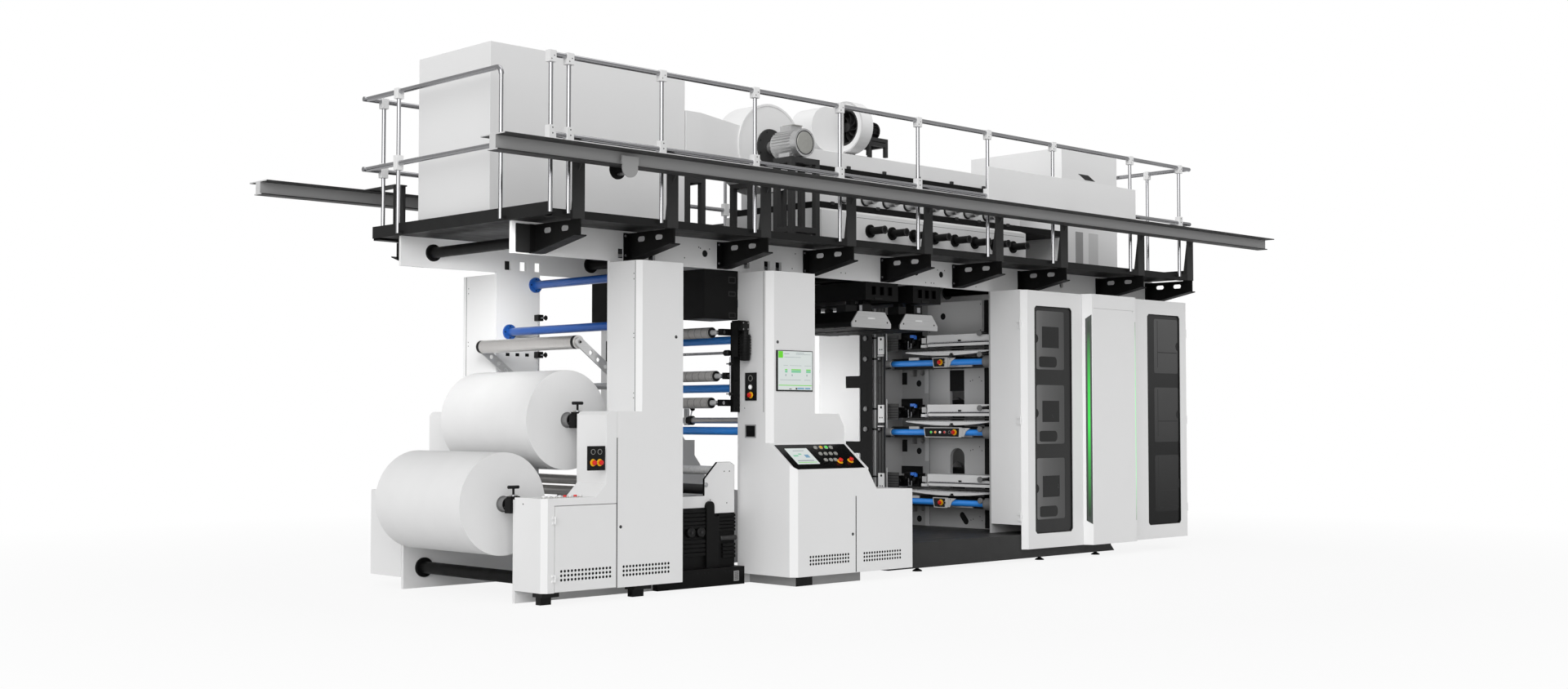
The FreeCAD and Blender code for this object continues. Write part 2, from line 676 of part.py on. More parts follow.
def enclosure():
    y_in = -door_y + door_t + leaf_gap + 3
    lid_y = -door_y + door_corner + leaf_gap + 3
    side = box(print_x0, print_x0 + side_t, -door_y + door_corner + seam, -plate_y, side_z0, frame_top)
    post = box(print_x0 + side_t, print_x0 + 60, -plate_y - 30, -plate_y, side_z0, frame_top - skin)
    rise = -door_y - panel_rise
    centre = prism_z([(panel_x0, -plate_y), (panel_x0, -door_y), (panel_x0 + panel_slope_w, rise),
                      (panel_x1 - panel_slope_w, rise), (panel_x1, -door_y), (panel_x1, -plate_y)],
                     door_z0, frame_top)
    centre = centre.cut(box(panel_x0, panel_x1, -pan_y - leaf_gap, -plate_y, 0, pan_z1 + leaf_gap))
    end = box(print_x1 - side_t, print_x1, y_in, -plate_y, door_z0, frame_top)
    lid_left = box(print_x0 + side_t, panel_x0, lid_y, -plate_y, frame_top - skin, frame_top)
    lid_right = box(panel_x1, print_x1 - side_t, y_in, -plate_y, frame_top - skin, frame_top)
    return fuse(side, post, centre, end, lid_left, lid_right)


# Print unit: two hinged doors, each with a tall window
door_head = 3.0
left_x0, left_x1 = print_x0 + door_corner + 3, panel_x0 - leaf_gap
right_x0, right_x1 = panel_x1 + leaf_gap, print_x1
left_window = (1628.0, 2250.0)
right_window = (3598.0, 4228.0)
glass_t = 6.0
glass_lap = 14.0


def window_cut(span):
    return box(span[0], span[1], -door_y, -door_y + door_t, window_z0, window_z1)


def window_rebate(span):
    """Seat behind the opening that the pane lies in."""
    return box(span[0] - glass_lap, span[1] + glass_lap, -door_y + door_t / 2, -door_y + door_t,
               window_z0 - glass_lap, window_z1 + glass_lap)


def window_pane(span):
    inset = glass_lap - seat_gap
    y0 = -door_y + door_t / 2 + seat_gap
    return box(span[0] - inset, span[1] + inset, y0, y0 + glass_t, window_z0 - inset, window_z1 + inset)


def left_leaf():
    """Leaf whose hinged edge folds back round the corner of the housing."""
    y0, y1, turn = -door_y, -door_y + door_t, door_corner
    fold = left_x0 - turn
    plan = [(left_x0, y0), (left_x1, y0), (left_x1, y1), (left_x0 + 6, y1), (fold + 22, y0 + turn),
            (fold, y0 + turn)]
    leaf = prism_z(plan, door_z0, frame_top - door_head)
    return leaf.cut(window_cut(left_window)).cut(window_rebate(left_window))


def right_leaf():
    leaf = box(right_x0, right_x1, -door_y, -door_y + door_t, door_z0, frame_top - door_head)
    return leaf.cut(window_cut(right_window)).cut(window_rebate(right_window))


hinge_h = 90.0
hinge_r = 9.0
strap_t = 8.0
hinge_zs = (400.0, 1350.0, 2300.0)
strap_half = strap_t / 2
left_pin_x, left_pin_y = print_x0 - hinge_r, -door_y + door_corner - strap_half
right_pin_x, right_pin_y = print_x1 + hinge_r, -door_y + hinge_r
left_root, right_root = left_pin_y + 40.0, -door_y + door_t + 50.0
root_w = 30.0
left_fixed = [(left_pin_x - strap_half, left_pin_x + strap_half, left_pin_y, left_root),
              (left_pin_x - strap_half, print_x0 + seam, left_root - root_w + strap_half, left_root)]
left_moving = [(left_pin_x, left_x0 - door_corner + strap_t, left_pin_y - 5, left_pin_y + 3)]
right_fixed = [(right_pin_x - strap_half, right_pin_x + strap_half, right_pin_y, right_root),
               (print_x1 - seam, right_pin_x + strap_half, right_root - root_w, right_root)]
right_moving = [(print_x1 - strap_t, right_pin_x, right_pin_y - strap_half, right_pin_y + strap_half)]
housing, door_left, door_right = enclosure(), left_leaf(), right_leaf()
for z in hinge_zs:
    fixed, moving = knuckle_hinge(left_pin_x, left_pin_y, z, hinge_h, hinge_r, left_fixed, left_moving)
    housing, door_left = fuse(housing, fixed), fuse(door_left, moving)
    fixed, moving = knuckle_hinge(right_pin_x, right_pin_y, z, hinge_h, hinge_r, right_fixed, right_moving)
    housing, door_right = fuse(housing, fixed), fuse(door_right, moving)
put("print_housing", housing)
put("print_door_left", door_left)
put("print_door_right", door_right)
put("left_door_window", window_pane(left_window))
put("right_door_window", window_pane(right_window))

# Service platform: floor, edge channels between the beam posts, and end beams
post_depth_low, post_depth_top = 92.0, 34.0
floor_inset = post_depth_low + 8.0
channel_t = 8.0
end_beam_h = 100.0
end_beam_t = 12.0


def edge_channel(x0, x1, edge):
    """Channel along the edge, open towards the floor."""
    y0, y1 = -edge, -edge + floor_inset - seat_gap
    z0, z1, t = channel_z0, floor_z, channel_t
    outline = [(y0, z0), (y1, z0), (y1, z0 + t), (y0 + t, z0 + t),
               (y0 + t, z1 - t), (y1, z1 - t), (y1, z1), (y0, z1)]
    return prism_x(outline, x0, x1)


def channel_spans():
    gap = bracket_w / 2 + seat_gap
    starts = [deck_x0 + end_beam_t] + [x + gap for x in bracket_x[:-1]]
    ends = [x - gap for x in bracket_x]
    return list(zip(starts, ends))


def end_beam(x0, inset):
    """Plate on edge across one end of the floor."""
    return box(x0, x0 + end_beam_t, -front_edge_y + inset, back_edge_y - inset,
               bridge_top, bridge_top + end_beam_h)


platform = box(deck_x0, deck_x1, -front_edge_y + floor_inset, back_edge_y - floor_inset,
               bridge_top, floor_z)
put("platform_deck", fuse(platform, end_beam(deck_x0, 0), end_beam(deck_x1 - end_beam_t, floor_inset)))
for span_x0, span_x1 in channel_spans():
    put("platform_deck", edge_channel(span_x0, span_x1, front_edge_y))
    put("platform_deck", across(edge_channel(span_x0, span_x1, back_edge_y)))


# Tapered cantilever brackets under the walkway, with slots in the web
bracket_root_z = frame_top + 15
bracket_tip_z = 2800.0
bracket_web_t = 12.0
bracket_flange_t = 10.0


def bracket(x, edge):
    tip, root = edge + bracket_tip, plate_y + 60
    top = channel_z0 - seat_gap
    x0, x1 = x - bracket_web_t / 2, x + bracket_web_t / 2
    web = prism_x([(-plate_y, bracket_root_z), (-plate_y, top), (-tip, top), (-tip, bracket_tip_z),
                   (-root, bracket_root_z)], x0, x1)
    slot_half, slot_r = 50.0, 22.0
    y = plate_y + 160
    while y + slot_half < edge - 60:
        web = web.cut(slot_x(-y, bracket_tip_z + 62, slot_half, slot_r, x0, x1))
        y += 220
    t = bracket_flange_t
    foot = prism_x([(-root, bracket_root_z), (-tip, bracket_tip_z), (-tip, bracket_tip_z - t),
                    (-root, bracket_root_z - t), (-plate_y, bracket_root_z - t), (-plate_y, bracket_root_z)],
                   x - bracket_w / 2, x + bracket_w / 2)
    plate = box(x - bracket_w / 2, x + bracket_w / 2, -plate_y - t, -plate_y, bracket_root_z, top)
    return fuse(web, foot, plate)


gusset_h = 120.0


# Beam posts: a flange with a tapered web behind it, and an arm over the hoist beam
def beam_post(x, edge):
    z0 = channel_z0
    flange = box(x - bracket_w / 2, x + bracket_w / 2, -edge, -edge + bracket_web_t, z0, beam_z1)
    web = prism_x([(-edge, z0), (-edge + post_depth_low, z0), (-edge + post_depth_low, floor_z),
                   (-edge + post_depth_top, beam_z1), (-edge, beam_z1)], x - 5, x + 5)
    return fuse(flange, web)


def beam_arm(x, edge):
    """Arm plate on the post's head that reaches over the beam's top flange, with its gusset."""
    reach = beam_y - 70.0
    z0 = beam_z1 + seat_gap
    plate = box(x - bracket_w / 2, x + bracket_w / 2, -reach, -edge + post_depth_top, z0, z0 + bracket_web_t)
    gusset = prism_x([(-edge - seat_gap, z0), (-edge - seat_gap, z0 - gusset_h), (-edge - 90, z0)],
                     x - 5, x + 5)
    return fuse(plate, gusset)


for x in bracket_x:
    put("walkway_brackets", bracket(x, front_edge_y), across(bracket(x, back_edge_y)))
    put("monorail_posts", beam_post(x, front_edge_y), across(beam_post(x, back_edge_y)))
    put("monorail_posts", beam_arm(x, front_edge_y), across(beam_arm(x, back_edge_y)))


# Hoist beams: a box web with a wide top flange and a bottom runway flange
def hoist_beam():
    x0, x1 = -beam_half, beam_half
    half, top_half, runway_half = beam_w / 2, beam_flange_w / 2, beam_w / 2 + 25
    t = beam_flange_t
    side = [(runway_half, beam_z0 - t), (runway_half, beam_z0), (half, beam_z0), (half, beam_z1 - t),
            (top_half, beam_z1 - t), (top_half, beam_z1)]
    outline = side + [(-y, z) for y, z in reversed(side)]
    return prism_x([(y - beam_y, z) for y, z in outline], x0, x1)


put("monorail_beams", both(hoist_beam()))

# Hoist trolley on the front beam: two cheeks, four wheels and a hanger pin
trolley_x = -3990.0
wheel_r = 20.0
cheek_t = 12.0
cheek_y = beam_w / 2 + 30.5


def trolley():
    wheel_z = beam_z0 + wheel_r + seat_gap
    pieces = [rod_y(12.0, trolley_x, beam_z0 - 60, -beam_y - cheek_y, -beam_y + cheek_y)]
    for side in (-1, 1):
        y0, y1 = sorted((-beam_y + side * cheek_y, -beam_y + side * (cheek_y + cheek_t)))
        pieces += [rod_y(74.0, trolley_x, beam_z0 - 22, y0, y1),
                   box(trolley_x - 80, trolley_x + 80, y0, y1, beam_z0, beam_z0 + 62)]
        hub0, hub1 = sorted((-beam_y + side * (beam_w / 2 + seam), -beam_y + side * cheek_y))
        pieces += [rod_y(wheel_r, trolley_x + dx, wheel_z, hub0, hub1) for dx in (-45, 45)]
    return fuse(*pieces)


put("hoist_trolley", trolley())

# Handrails: tubes that end in clamp blocks at every post
clamp_w, clamp_d = 64.0, 56.0
half_w, half_d = clamp_w / 2, clamp_d / 2
mid_clamp_z0, mid_clamp_z1 = mid_rail_z - 58, mid_rail_z + 66
top_clamp_z0, top_clamp_z1 = top_rail_z - 62, top_rail_z + handrail_r + 6
foot_z = channel_z0 + 26.0
lug_half, lug_h = 14.0, 22.0
flange_t = 8.0
elbow_r = 60.0


def hand_post(x, y, z0):
    """Upright tube in two lengths, below and above the clamp at the middle rail."""
    return [rod_z(handpost_r, x, y, z0, mid_clamp_z0 - seat_gap),
            rod_z(handpost_r, x, y, mid_clamp_z1 + seat_gap, top_clamp_z0 - seat_gap)]


def clamp_block(x, y, z0, z1):
    return box(x - half_w, x + half_w, y - half_d, y + half_d, z0, z1)


def foot_lug(x, y, x0, x1, y0, y1):
    """Spacer on the platform's edge with a hollow that the post lies in."""
    z0 = foot_z + seam
    return box(x0, x1, y0, y1, z0, z0 + lug_h).cut(rod_z(handpost_r + seat_gap, x, y, z0, z0 + lug_h))


def rail_run(rod, fixed, posts, half, start, end):
    """Top and middle rails along one side, in lengths between the clamps; start and end are free ends."""
    stops = [s for post in posts for s in (post - half - seat_gap, post + half + seat_gap)]
    stops = ([start] if start is not None else stops[:0]) + stops[start is None:] + [end]
    return [rod(handrail_r, fixed, z, a, b) for z in (top_rail_z, mid_rail_z)
            for a, b in zip(stops[0::2], stops[1::2])]


def gate_elbow():
    """Bend that turns the top rail down into the gate post."""
    turn = Vector(rail_x0, gate_y + elbow_r, top_rail_z - elbow_r)
    ring = Part.makeCircle(handrail_r, Vector(rail_x0, gate_y, turn.z), Vector(0, 0, 1))
    bend = Part.Face(Part.Wire([ring])).revolve(turn, Vector(-1, 0, 0), 90)
    rail = rod_y(handrail_r, rail_x0, top_rail_z, turn.y, left_posts[0] - half_d - seat_gap)
    return fuse(bend, rail, rod_z(handpost_r, rail_x0, gate_y, mid_clamp_z1 + seat_gap, turn.z))


front_posts = (rail_x0,) + rail_posts
left_posts, right_posts = (700.0,), (-873.0, 250.0)
free_x0, free_x1 = rail_x0 - rail_end / 2, rail_x1 + rail_end / 2
side_end = handrail_r + seat_gap
put("handrails", rail_run(rod_x, -front_rail_y, front_posts, half_w, None, free_x1))
put("handrails", rail_run(rod_x, back_rail_y, rail_posts, half_w, free_x0, free_x1))
side_y0, side_y1 = side_end - front_rail_y, back_rail_y - side_end
put("handrails", rail_run(rod_y, rail_x0, (gate_y,) + left_posts, half_d, None, side_y1)[1:])
put("handrails", rail_run(rod_y, rail_x1, right_posts, half_d, side_y0, side_y1))
put("handrails", gate_elbow(), rod_z(handpost_r, rail_x0, gate_y, foot_z, mid_clamp_z0 - seat_gap))
put("rail_clamps", clamp_block(rail_x0, gate_y, mid_clamp_z0, mid_clamp_z1))
post_at = [(x, -front_rail_y, foot_z) for x in front_posts]
post_at += [(x, back_rail_y, foot_z) for x in rail_posts] + [(rail_x0, y, foot_z) for y in left_posts]
post_at += [(rail_x1, y, floor_z + flange_t + 2 * seat_gap) for y in right_posts]
for x, y, z0 in post_at:
    put("handrails", hand_post(x, y, z0))
    put("rail_clamps", clamp_block(x, y, mid_clamp_z0, mid_clamp_z1))
    put("rail_clamps", clamp_block(x, y, top_clamp_z0, top_clamp_z1))

# Lugs that hold the posts off the platform's edge, and flanges under those that stand on the floor
front_seat, back_seat = -front_edge_y - seat_gap, back_edge_y + seat_gap
for x in rail_posts:
    x0, x1 = x - lug_half, x + lug_half
    put("platform_deck", foot_lug(x, -front_rail_y, x0, x1, -front_rail_y, front_seat))
    put("platform_deck", foot_lug(x, back_rail_y, x0, x1, back_seat, back_rail_y))
put("platform_deck", foot_lug(rail_x0, -front_rail_y, rail_x0, deck_x0 + lug_half, -front_rail_y, front_seat))
for y in (gate_y,) + left_posts:
    put("platform_deck", foot_lug(rail_x0, y, rail_x0, deck_x0 - seat_gap, y - lug_half, y + lug_half))
for y in right_posts:
    z0 = floor_z + seat_gap
    put("rail_clamps", rod_z(2 * handpost_r, rail_x1, y, z0, z0 + flange_t))

# Cabinets and the plain panel on the platform
cab_y0, cab_y1 = -345.0, 684.0
cab_x0, cab_x1 = -4253.0, -2204.0
cab_h = 1435.0
roof_x0, roof_x1 = 3000.0, 4105.0
roof_y0, roof_y1 = -500.0, 700.0
roof_h = 1355.0
roof_bevel = 78.0
sign_x0, sign_x1 = 664.0, 3098.0
sign_z0, sign_z1 = 3466.0, 3800.0
sign_t = 12.0
put("roof_cabinets", box(cab_x0, cab_x1, cab_y0, cab_y1, floor_z, floor_z + cab_h))
roof_plan = [(roof_x0, roof_y1), (roof_x0, roof_y0 + roof_bevel), (roof_x0 + roof_bevel, roof_y0),
             (roof_x1, roof_y0), (roof_x1, roof_y1)]
put("roof_cabinets", prism_z(roof_plan, floor_z, floor_z + roof_h))
sign_y = -front_rail_y - half_d - seat_gap
put("sign_panel", box(sign_x0, sign_x1, sign_y - sign_t, sign_y, sign_z0, sign_z1))

# Drying tunnels on the platform, with rails, air spigots and web cylinders
tunnel_x0, tunnel_x1 = -800.0, 2243.0
upper_tunnel_x0, upper_tunnel_x1 = -740.0, 2600.0
tunnel_y = 650.0
tunnel_h = 380.0
tunnel_z1 = floor_z + tunnel_h
upper_y0, upper_y1 = -300.0, 500.0
upper_h = 565.0
rail_h = 60.0
upper_z0 = tunnel_z1 + rail_h
upper_z1 = upper_z0 + upper_h
tunnel_bevel, upper_bevel, bevel_drop = 60.0, 100.0, 25.0
side_rail_t, side_rail_h, side_rail_drop = 30.0, 50.0, 175.0


def tunnel_outline(y0, y1, z0, z1, bevel):
    """Section of a tunnel whose front top edge slopes."""
    return [(y0, z0), (y0, z1 - bevel_drop), (y0 + bevel, z1), (y1, z1), (y1, z0)]


put("dryer_tunnels", prism_x(tunnel_outline(-tunnel_y, tunnel_y, floor_z, tunnel_z1, tunnel_bevel),
                             tunnel_x0, tunnel_x1))
put("dryer_tunnels", prism_x(tunnel_outline(upper_y0, upper_y1, upper_z0, upper_z1, upper_bevel),
                             upper_tunnel_x0, upper_tunnel_x1))
put("dryer_fittings", box(tunnel_x0, roof_x0, -tunnel_y + tunnel_bevel, upper_y1, tunnel_z1, upper_z0))
side_rail_z1 = upper_z1 - side_rail_drop
put("dryer_fittings", box(upper_tunnel_x0, upper_tunnel_x1, upper_y0 - side_rail_t, upper_y0,
                          side_rail_z1 - side_rail_h, side_rail_z1))
spigot_count = 8
spigot_x0, spigot_pitch = -150.0, 310.0
spigot_z = floor_z + 200.0
spigot_r, spigot_len = 36.0, 190.0
spigot_flange_r, spigot_flange_t = 62.0, 18.0
cylinder_z = upper_z0 + 115.0
cylinder_r, cylinder_len = 50.0, 130.0
nose_r, nose_len = 32.0, 90.0
for i in range(spigot_count):
    x = spigot_x0 + spigot_pitch * i
    put("dryer_fittings", fuse(
        rod_y(spigot_flange_r, x, spigot_z, -tunnel_y - spigot_flange_t, -tunnel_y),
        rod_y(spigot_r, x, spigot_z, -tunnel_y - spigot_len, -tunnel_y)))
    put("dryer_cylinders", fuse(
        rod_y(cylinder_r, x, cylinder_z, upper_y0 - cylinder_len, upper_y0),
        rod_y(nose_r, x, cylinder_z, upper_y0 - cylinder_len - nose_len, upper_y0)))

# Main blower: scroll with its outlet duct, motor and stand
blower_x, blower_z = -1158.0, 3895.0
blower_r = 403.0
blower_y0, blower_y1 = cab_y0, -20.0
duct_x0, duct_x1 = -2196.0, -2026.0
duct_y0, duct_y1 = blower_y0 - 10.0, 330.0
duct_z0, duct_z1 = 3540.0, 4113.0
hood_rise = 164.0
mouth_inset, mouth_low, mouth_high = 15.0, 240.0, 150.0
motor_r = 120.0
motor_y0 = -790.0
cowl_len, motor_len = 70.0, 260.0
motor_foot_y = 226.0
motor_foot_z = blower_z - motor_r - 20.0
stand_post = 50.0


def rectangle_at(x, y0, y1, z0, z1):
    corners = [Vector(x, y0, z0), Vector(x, y1, z0), Vector(x, y1, z1), Vector(x, y0, z1)]
    return Part.makePolygon(corners + [corners[0]])


def blower_scroll():
    """Round casing whose outlet widens through a hood into the upright duct."""
    drum = rod_y(blower_r, blower_x, blower_z, blower_y0, blower_y1)
    mouth_x = blower_x - 0.6 * blower_r
    wide = rectangle_at(duct_x1, duct_y0, duct_y1, duct_z0 + hood_rise, duct_z1)
    narrow = rectangle_at(mouth_x, blower_y0 + mouth_inset, blower_y1 - mouth_inset,
                          blower_z - mouth_low, blower_z + mouth_high)
    hood = Part.makeLoft([wide, narrow], True, True)
    return fuse(drum, hood, box(duct_x0, duct_x1, duct_y0, duct_y1, duct_z0, duct_z1))


def open_stand(x0, x1, y0, y1, z0, z1, post):
    """Welded frame: four legs under a top ring, with a low ring between them."""
    legs = [box(x, x + post, y, y + post, z0, z1) for x in (x0, x1 - post) for y in (y0, y1 - post)]
    ring = box(x0, x1, y0, y1, z1 - post, z1)
    tie = box(x0, x1, y0, y1, z0 + 100, z0 + 100 + post)
    void = box(x0 + post, x1 - post, y0 + post, y1 - post, z0, z1)
    return fuse(ring, tie, *legs).cut(void)


def blower_motor():
    y0, y1, y2 = motor_y0, motor_y0 + cowl_len, motor_y0 + cowl_len + motor_len
    body = rod_y(motor_r, blower_x, blower_z, y1, y2)
    cowl = rod_y(motor_r + 8, blower_x, blower_z, y0, y1)
    neck = rod_y(motor_r / 2, blower_x, blower_z, y2, blower_y0)
    terminal = box(blower_x - 70, blower_x + 70, y1 + 40, y1 + 180,
                   blower_z + motor_r - 20, blower_z + motor_r + 45)
    foot = box(blower_x - 110, blower_x + 110, y1 + 20, motor_y0 + motor_foot_y, motor_foot_z,
               blower_z - motor_r + 30)
    return fuse(body, cowl, neck, terminal, foot)


put("blower_housings", blower_scroll())
put("blower_motors", blower_motor())
motor_stand = open_stand(blower_x - 1.5 * motor_r, blower_x + 1.5 * motor_r, motor_y0 - 10,
                         motor_y0 + motor_foot_y, floor_z, motor_foot_z, stand_post)
duct_stand = open_stand(duct_x0, duct_x1 + 60, duct_y0, duct_y1, floor_z, duct_z0, stand_post)
cradle_half, cradle_inset = 230.0, 20.0
scroll_stand = open_stand(blower_x - cradle_half, blower_x + cradle_half, blower_y0 + cradle_inset,
                          blower_y1 - cradle_inset, floor_z, blower_z - 0.8 * blower_r, stand_post)
cradle = rod_y(blower_r + seat_gap, blower_x, blower_z, blower_y0, blower_y1)
put("blower_stands", motor_stand, duct_stand, scroll_stand.cut(cradle))

# Second blower: round-ended housing, and the ring fan at its end with an open inlet
small_r = 215.0
small_x = -230.0
small_z = upper_z1 + small_r
fan_x0, fan_x1 = 0.0, 150.0
fan_y, fan_z = -172.0, upper_z1 + 262.0
fan_r = 250.0
eye_r = 150.0
mouth_r = 35.0
back_t = 20.0
hub_r = 45.0
blade_count = 9
blade_r = eye_r - leaf_gap
fan_motor_r, fan_motor_len = 80.0, 280.0
fan_stand_post = 36.0


def small_housing():
    y0, y1 = -170.0, 120.0
    drum = rod_y(small_r, small_x, small_z, y0, y1)
    tail = box(small_x, fan_x0 - seat_gap, y0, y1, upper_z1, small_z + small_r)
    return fuse(drum, tail)


def fan_point(x, r, turn=0.0):
    """Point at a radius from the fan's axis, turned from upright by so many degrees."""
    a = math.radians(turn)
    return Vector(x, fan_y + r * math.sin(a), fan_z + r * math.cos(a))


def fan_ring():
    """Ring with a bell mouth at its inlet and a closed back, turned from its half section."""
    floor_x = fan_x1 - back_t
    near = mouth_r * (1 - math.sqrt(0.5))
    bell = Part.Arc(fan_point(fan_x0, eye_r + mouth_r), fan_point(fan_x0 + near, eye_r + near),
                    fan_point(fan_x0 + mouth_r, eye_r)).toShape()
    rest = Part.makePolygon([fan_point(x, r) for x, r in (
        (fan_x0 + mouth_r, eye_r), (floor_x, eye_r), (floor_x, 0), (fan_x1, 0), (fan_x1, fan_r),
        (fan_x0, fan_r), (fan_x0, eye_r + mouth_r))])
    section = Part.Face(Part.Wire([bell] + rest.Edges))
    return section.revolve(fan_point(0, 0), Vector(1, 0, 0), 360)


def fan_blade(turn):
    """Blade swept back from the hub, thicker towards its tip."""
    x0, x1 = fan_x0 + 1.5 * mouth_r, fan_x1 - back_t
    root, middle, sweep, thick = hub_r - seam, (hub_r + blade_r) / 2, 38.0, 3.5
    near, far = (Part.Arc(fan_point(x0, root, turn + t), fan_point(x0, middle, turn + t + sweep / 3),
                          fan_point(x0, blade_r, turn + t + sweep)).toShape() for t in (0.0, thick))
    tip = Part.makeLine(fan_point(x0, blade_r, turn + sweep), fan_point(x0, blade_r, turn + sweep + thick))
    foot = Part.makeLine(fan_point(x0, root, turn), fan_point(x0, root, turn + thick))
    outline = Part.Wire(Part.__sortEdges__([near, tip, far, foot]))
    return Part.Face(outline).extrude(Vector(x1 - x0, 0, 0))


def ring_fan():
    """Ring, hub and bladed wheel, and the motor behind them."""
    hub = rod_x(hub_r, fan_y, fan_z, fan_x0 + mouth_r, fan_x1 - back_t)
    motor = rod_x(fan_motor_r, fan_y, fan_z, fan_x1, fan_x1 + fan_motor_len)
    blades = [fan_blade(360.0 / blade_count * k) for k in range(blade_count)]
    return fuse(fan_ring(), hub, motor, *blades)


put("blower_housings", small_housing())
put("exhaust_fan", ring_fan())
stand_half = 0.5 * fan_r
put("blower_stands", open_stand(fan_x1 + 70, fan_x1 + 350, fan_y - stand_half, fan_y + stand_half, upper_z1,
                                fan_z - fan_motor_r, fan_stand_post))

# Write the parts
for name, solids in nodes.items():
    shape = Part.makeCompound(solids) if len(solids) > 1 else solids[0]
    shape.exportStep("parts/" + name + ".step")
    bounds = shape.BoundBox
    print(name, len(solids), [round(v) for v in (bounds.XMin, bounds.XMax, bounds.YMin, bounds.YMax,
                                                 bounds.ZMin, bounds.ZMax)])
print(len(nodes), "nodes")
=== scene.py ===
import math

import bmesh
import bpy
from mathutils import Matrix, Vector


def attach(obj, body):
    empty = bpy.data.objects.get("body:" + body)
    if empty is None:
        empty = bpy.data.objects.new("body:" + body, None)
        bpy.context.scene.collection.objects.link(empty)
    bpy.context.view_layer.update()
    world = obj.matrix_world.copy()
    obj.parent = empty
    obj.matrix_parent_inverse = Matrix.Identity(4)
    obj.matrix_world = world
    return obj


# Looks of a flexographic printing press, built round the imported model.
# Lengths are in millimetres until a mesh is made, in the frame of the model.
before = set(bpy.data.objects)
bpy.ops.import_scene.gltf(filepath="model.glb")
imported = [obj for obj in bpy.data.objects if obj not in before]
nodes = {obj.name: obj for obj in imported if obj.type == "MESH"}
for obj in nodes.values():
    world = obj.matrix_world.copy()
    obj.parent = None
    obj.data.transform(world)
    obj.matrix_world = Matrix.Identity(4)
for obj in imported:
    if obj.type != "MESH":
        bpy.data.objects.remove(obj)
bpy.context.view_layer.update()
scene = bpy.context.scene
MM = 0.001
ROOT = "press"
X, Y, Z = Vector((1, 0, 0)), Vector((0, 1, 0)), Vector((0, 0, 1))

# Camera at the photograph's viewpoint
HEADING, PITCH = math.radians(45.592), math.radians(2.437)
camera_data = bpy.data.cameras.new("camera")
camera_data.sensor_width = 36.0
camera_data.lens = 39.71
camera_data.clip_end = 300.0
camera = bpy.data.objects.new("camera", camera_data)
scene.collection.objects.link(camera)
camera.location = (-12.1302, -11.7220, 1.4149)
ahead = Vector((math.cos(HEADING) * math.cos(PITCH), math.sin(HEADING) * math.cos(PITCH), math.sin(PITCH)))
camera.rotation_euler = ahead.to_track_quat("-Z", "Y").to_euler()
scene.camera = camera

# Planes of the machine that details sit on
INNER, PLATE, CABINET, DESK, DOOR = 770.0, 800.0, 1170.0, 1460.0, 1225.0
CONSOLE_X, PRINT_X = -1964.0, 1462.0
REELS = {"lower": (-4282.0, 750.0), "upper": (-3668.084, 1399.879)}
RIDER = (REELS["upper"][0] + 50.0, REELS["upper"][1] + 624.0)
DECKS = (544.0, 1267.0, 1990.0)
FAN = (-172.0, 4247.0)
INFEED = {"infeed_roller_top": (-2109, 2154), "infeed_roller_middle": (-2060, 1778),
          "infeed_roller_low": (-2114, 1546)}


# Materials
def linear(tone):
    """A display grey, or a display colour (r, g, b), as the linear colour that a shader takes."""
    parts = tone if isinstance(tone, tuple) else (tone,) * 3
    return tuple(c / 12.92 if c <= 0.04045 else ((c + 0.055) / 1.055) ** 2.4 for c in parts) + (1.0,)


def scaled(colour, k):
    return tuple(min(c * k, 1.0) for c in colour[:3]) + (1.0,)


def feed(tree, socket, value):
    """Links another node's output to an input, or sets a plain value on it."""
    if isinstance(value, bpy.types.NodeSocket):
        tree.links.new(value, socket)
    else:
        socket.default_value = value


def fill(tree, node, *inputs, **values):
    """Feeds a node's first inputs in order, and its other inputs and settings by name."""
    for socket, value in zip(node.inputs, inputs):
        feed(tree, socket, value)
    for key, value in values.items():
        socket = node.inputs.get(key.replace("_", " "))
        if socket is None:
            setattr(node, key, value)
        else:
            feed(tree, socket, value)
    return node


def add(tree, kind, *inputs, **values):
    return fill(tree, tree.nodes.new("ShaderNode" + kind), *inputs, **values)


def place(tree):
    """Position on the machine, in metres."""
    return add(tree, "TexCoord").outputs["Object"]


def noise_at(tree, coords, size, detail=3.0):
    return add(tree, "TexNoise", coords, Scale=1.0 / size, Detail=detail).outputs["Fac"]


def new_material(name):
    mat = bpy.data.materials.new(name)
    mat.use_nodes = True
    return mat, mat.node_tree, mat.node_tree.nodes["Principled BSDF"]


def surface(name, tone, rough=0.45, metal=0.0, drift=0.03, size=0.9, grain=0.0, grain_size=0.004,
            stretch=None, coat=0.0, uneven=0.12, shine=0.5):
    """Paint, plastic or metal: a slow drift of colour, uneven gloss, and a fine grain in the bump."""
    mat, tree, shader = new_material(name)
    coords = place(tree)
    if stretch:
        coords = add(tree, "Mapping", coords, Scale=stretch).outputs["Vector"]
    ramp = add(tree, "ValToRGB", noise_at(tree, coords, size))
    for spot, position, k in zip(ramp.color_ramp.elements, (0.3, 0.7), (1 - drift, 1 + drift)):
        spot.position, spot.color = position, scaled(linear(tone), k)
    gloss = add(tree, "MapRange", noise_at(tree, coords, size / 6, 4.0), 0.3, 0.7, rough * (1 - uneven),
                rough * (1 + uneven))
    fill(tree, shader, Base_Color=ramp.outputs["Color"], Roughness=gloss.outputs["Result"], Metallic=metal,
         Coat_Weight=coat, Specular_IOR_Level=shine)
    if grain:
        height = noise_at(tree, coords, grain_size, 2.0)
        bump = add(tree, "Bump", Strength=grain, Distance=0.0006, Height=height)
        feed(tree, shader.inputs["Normal"], bump.outputs["Normal"])
    return mat


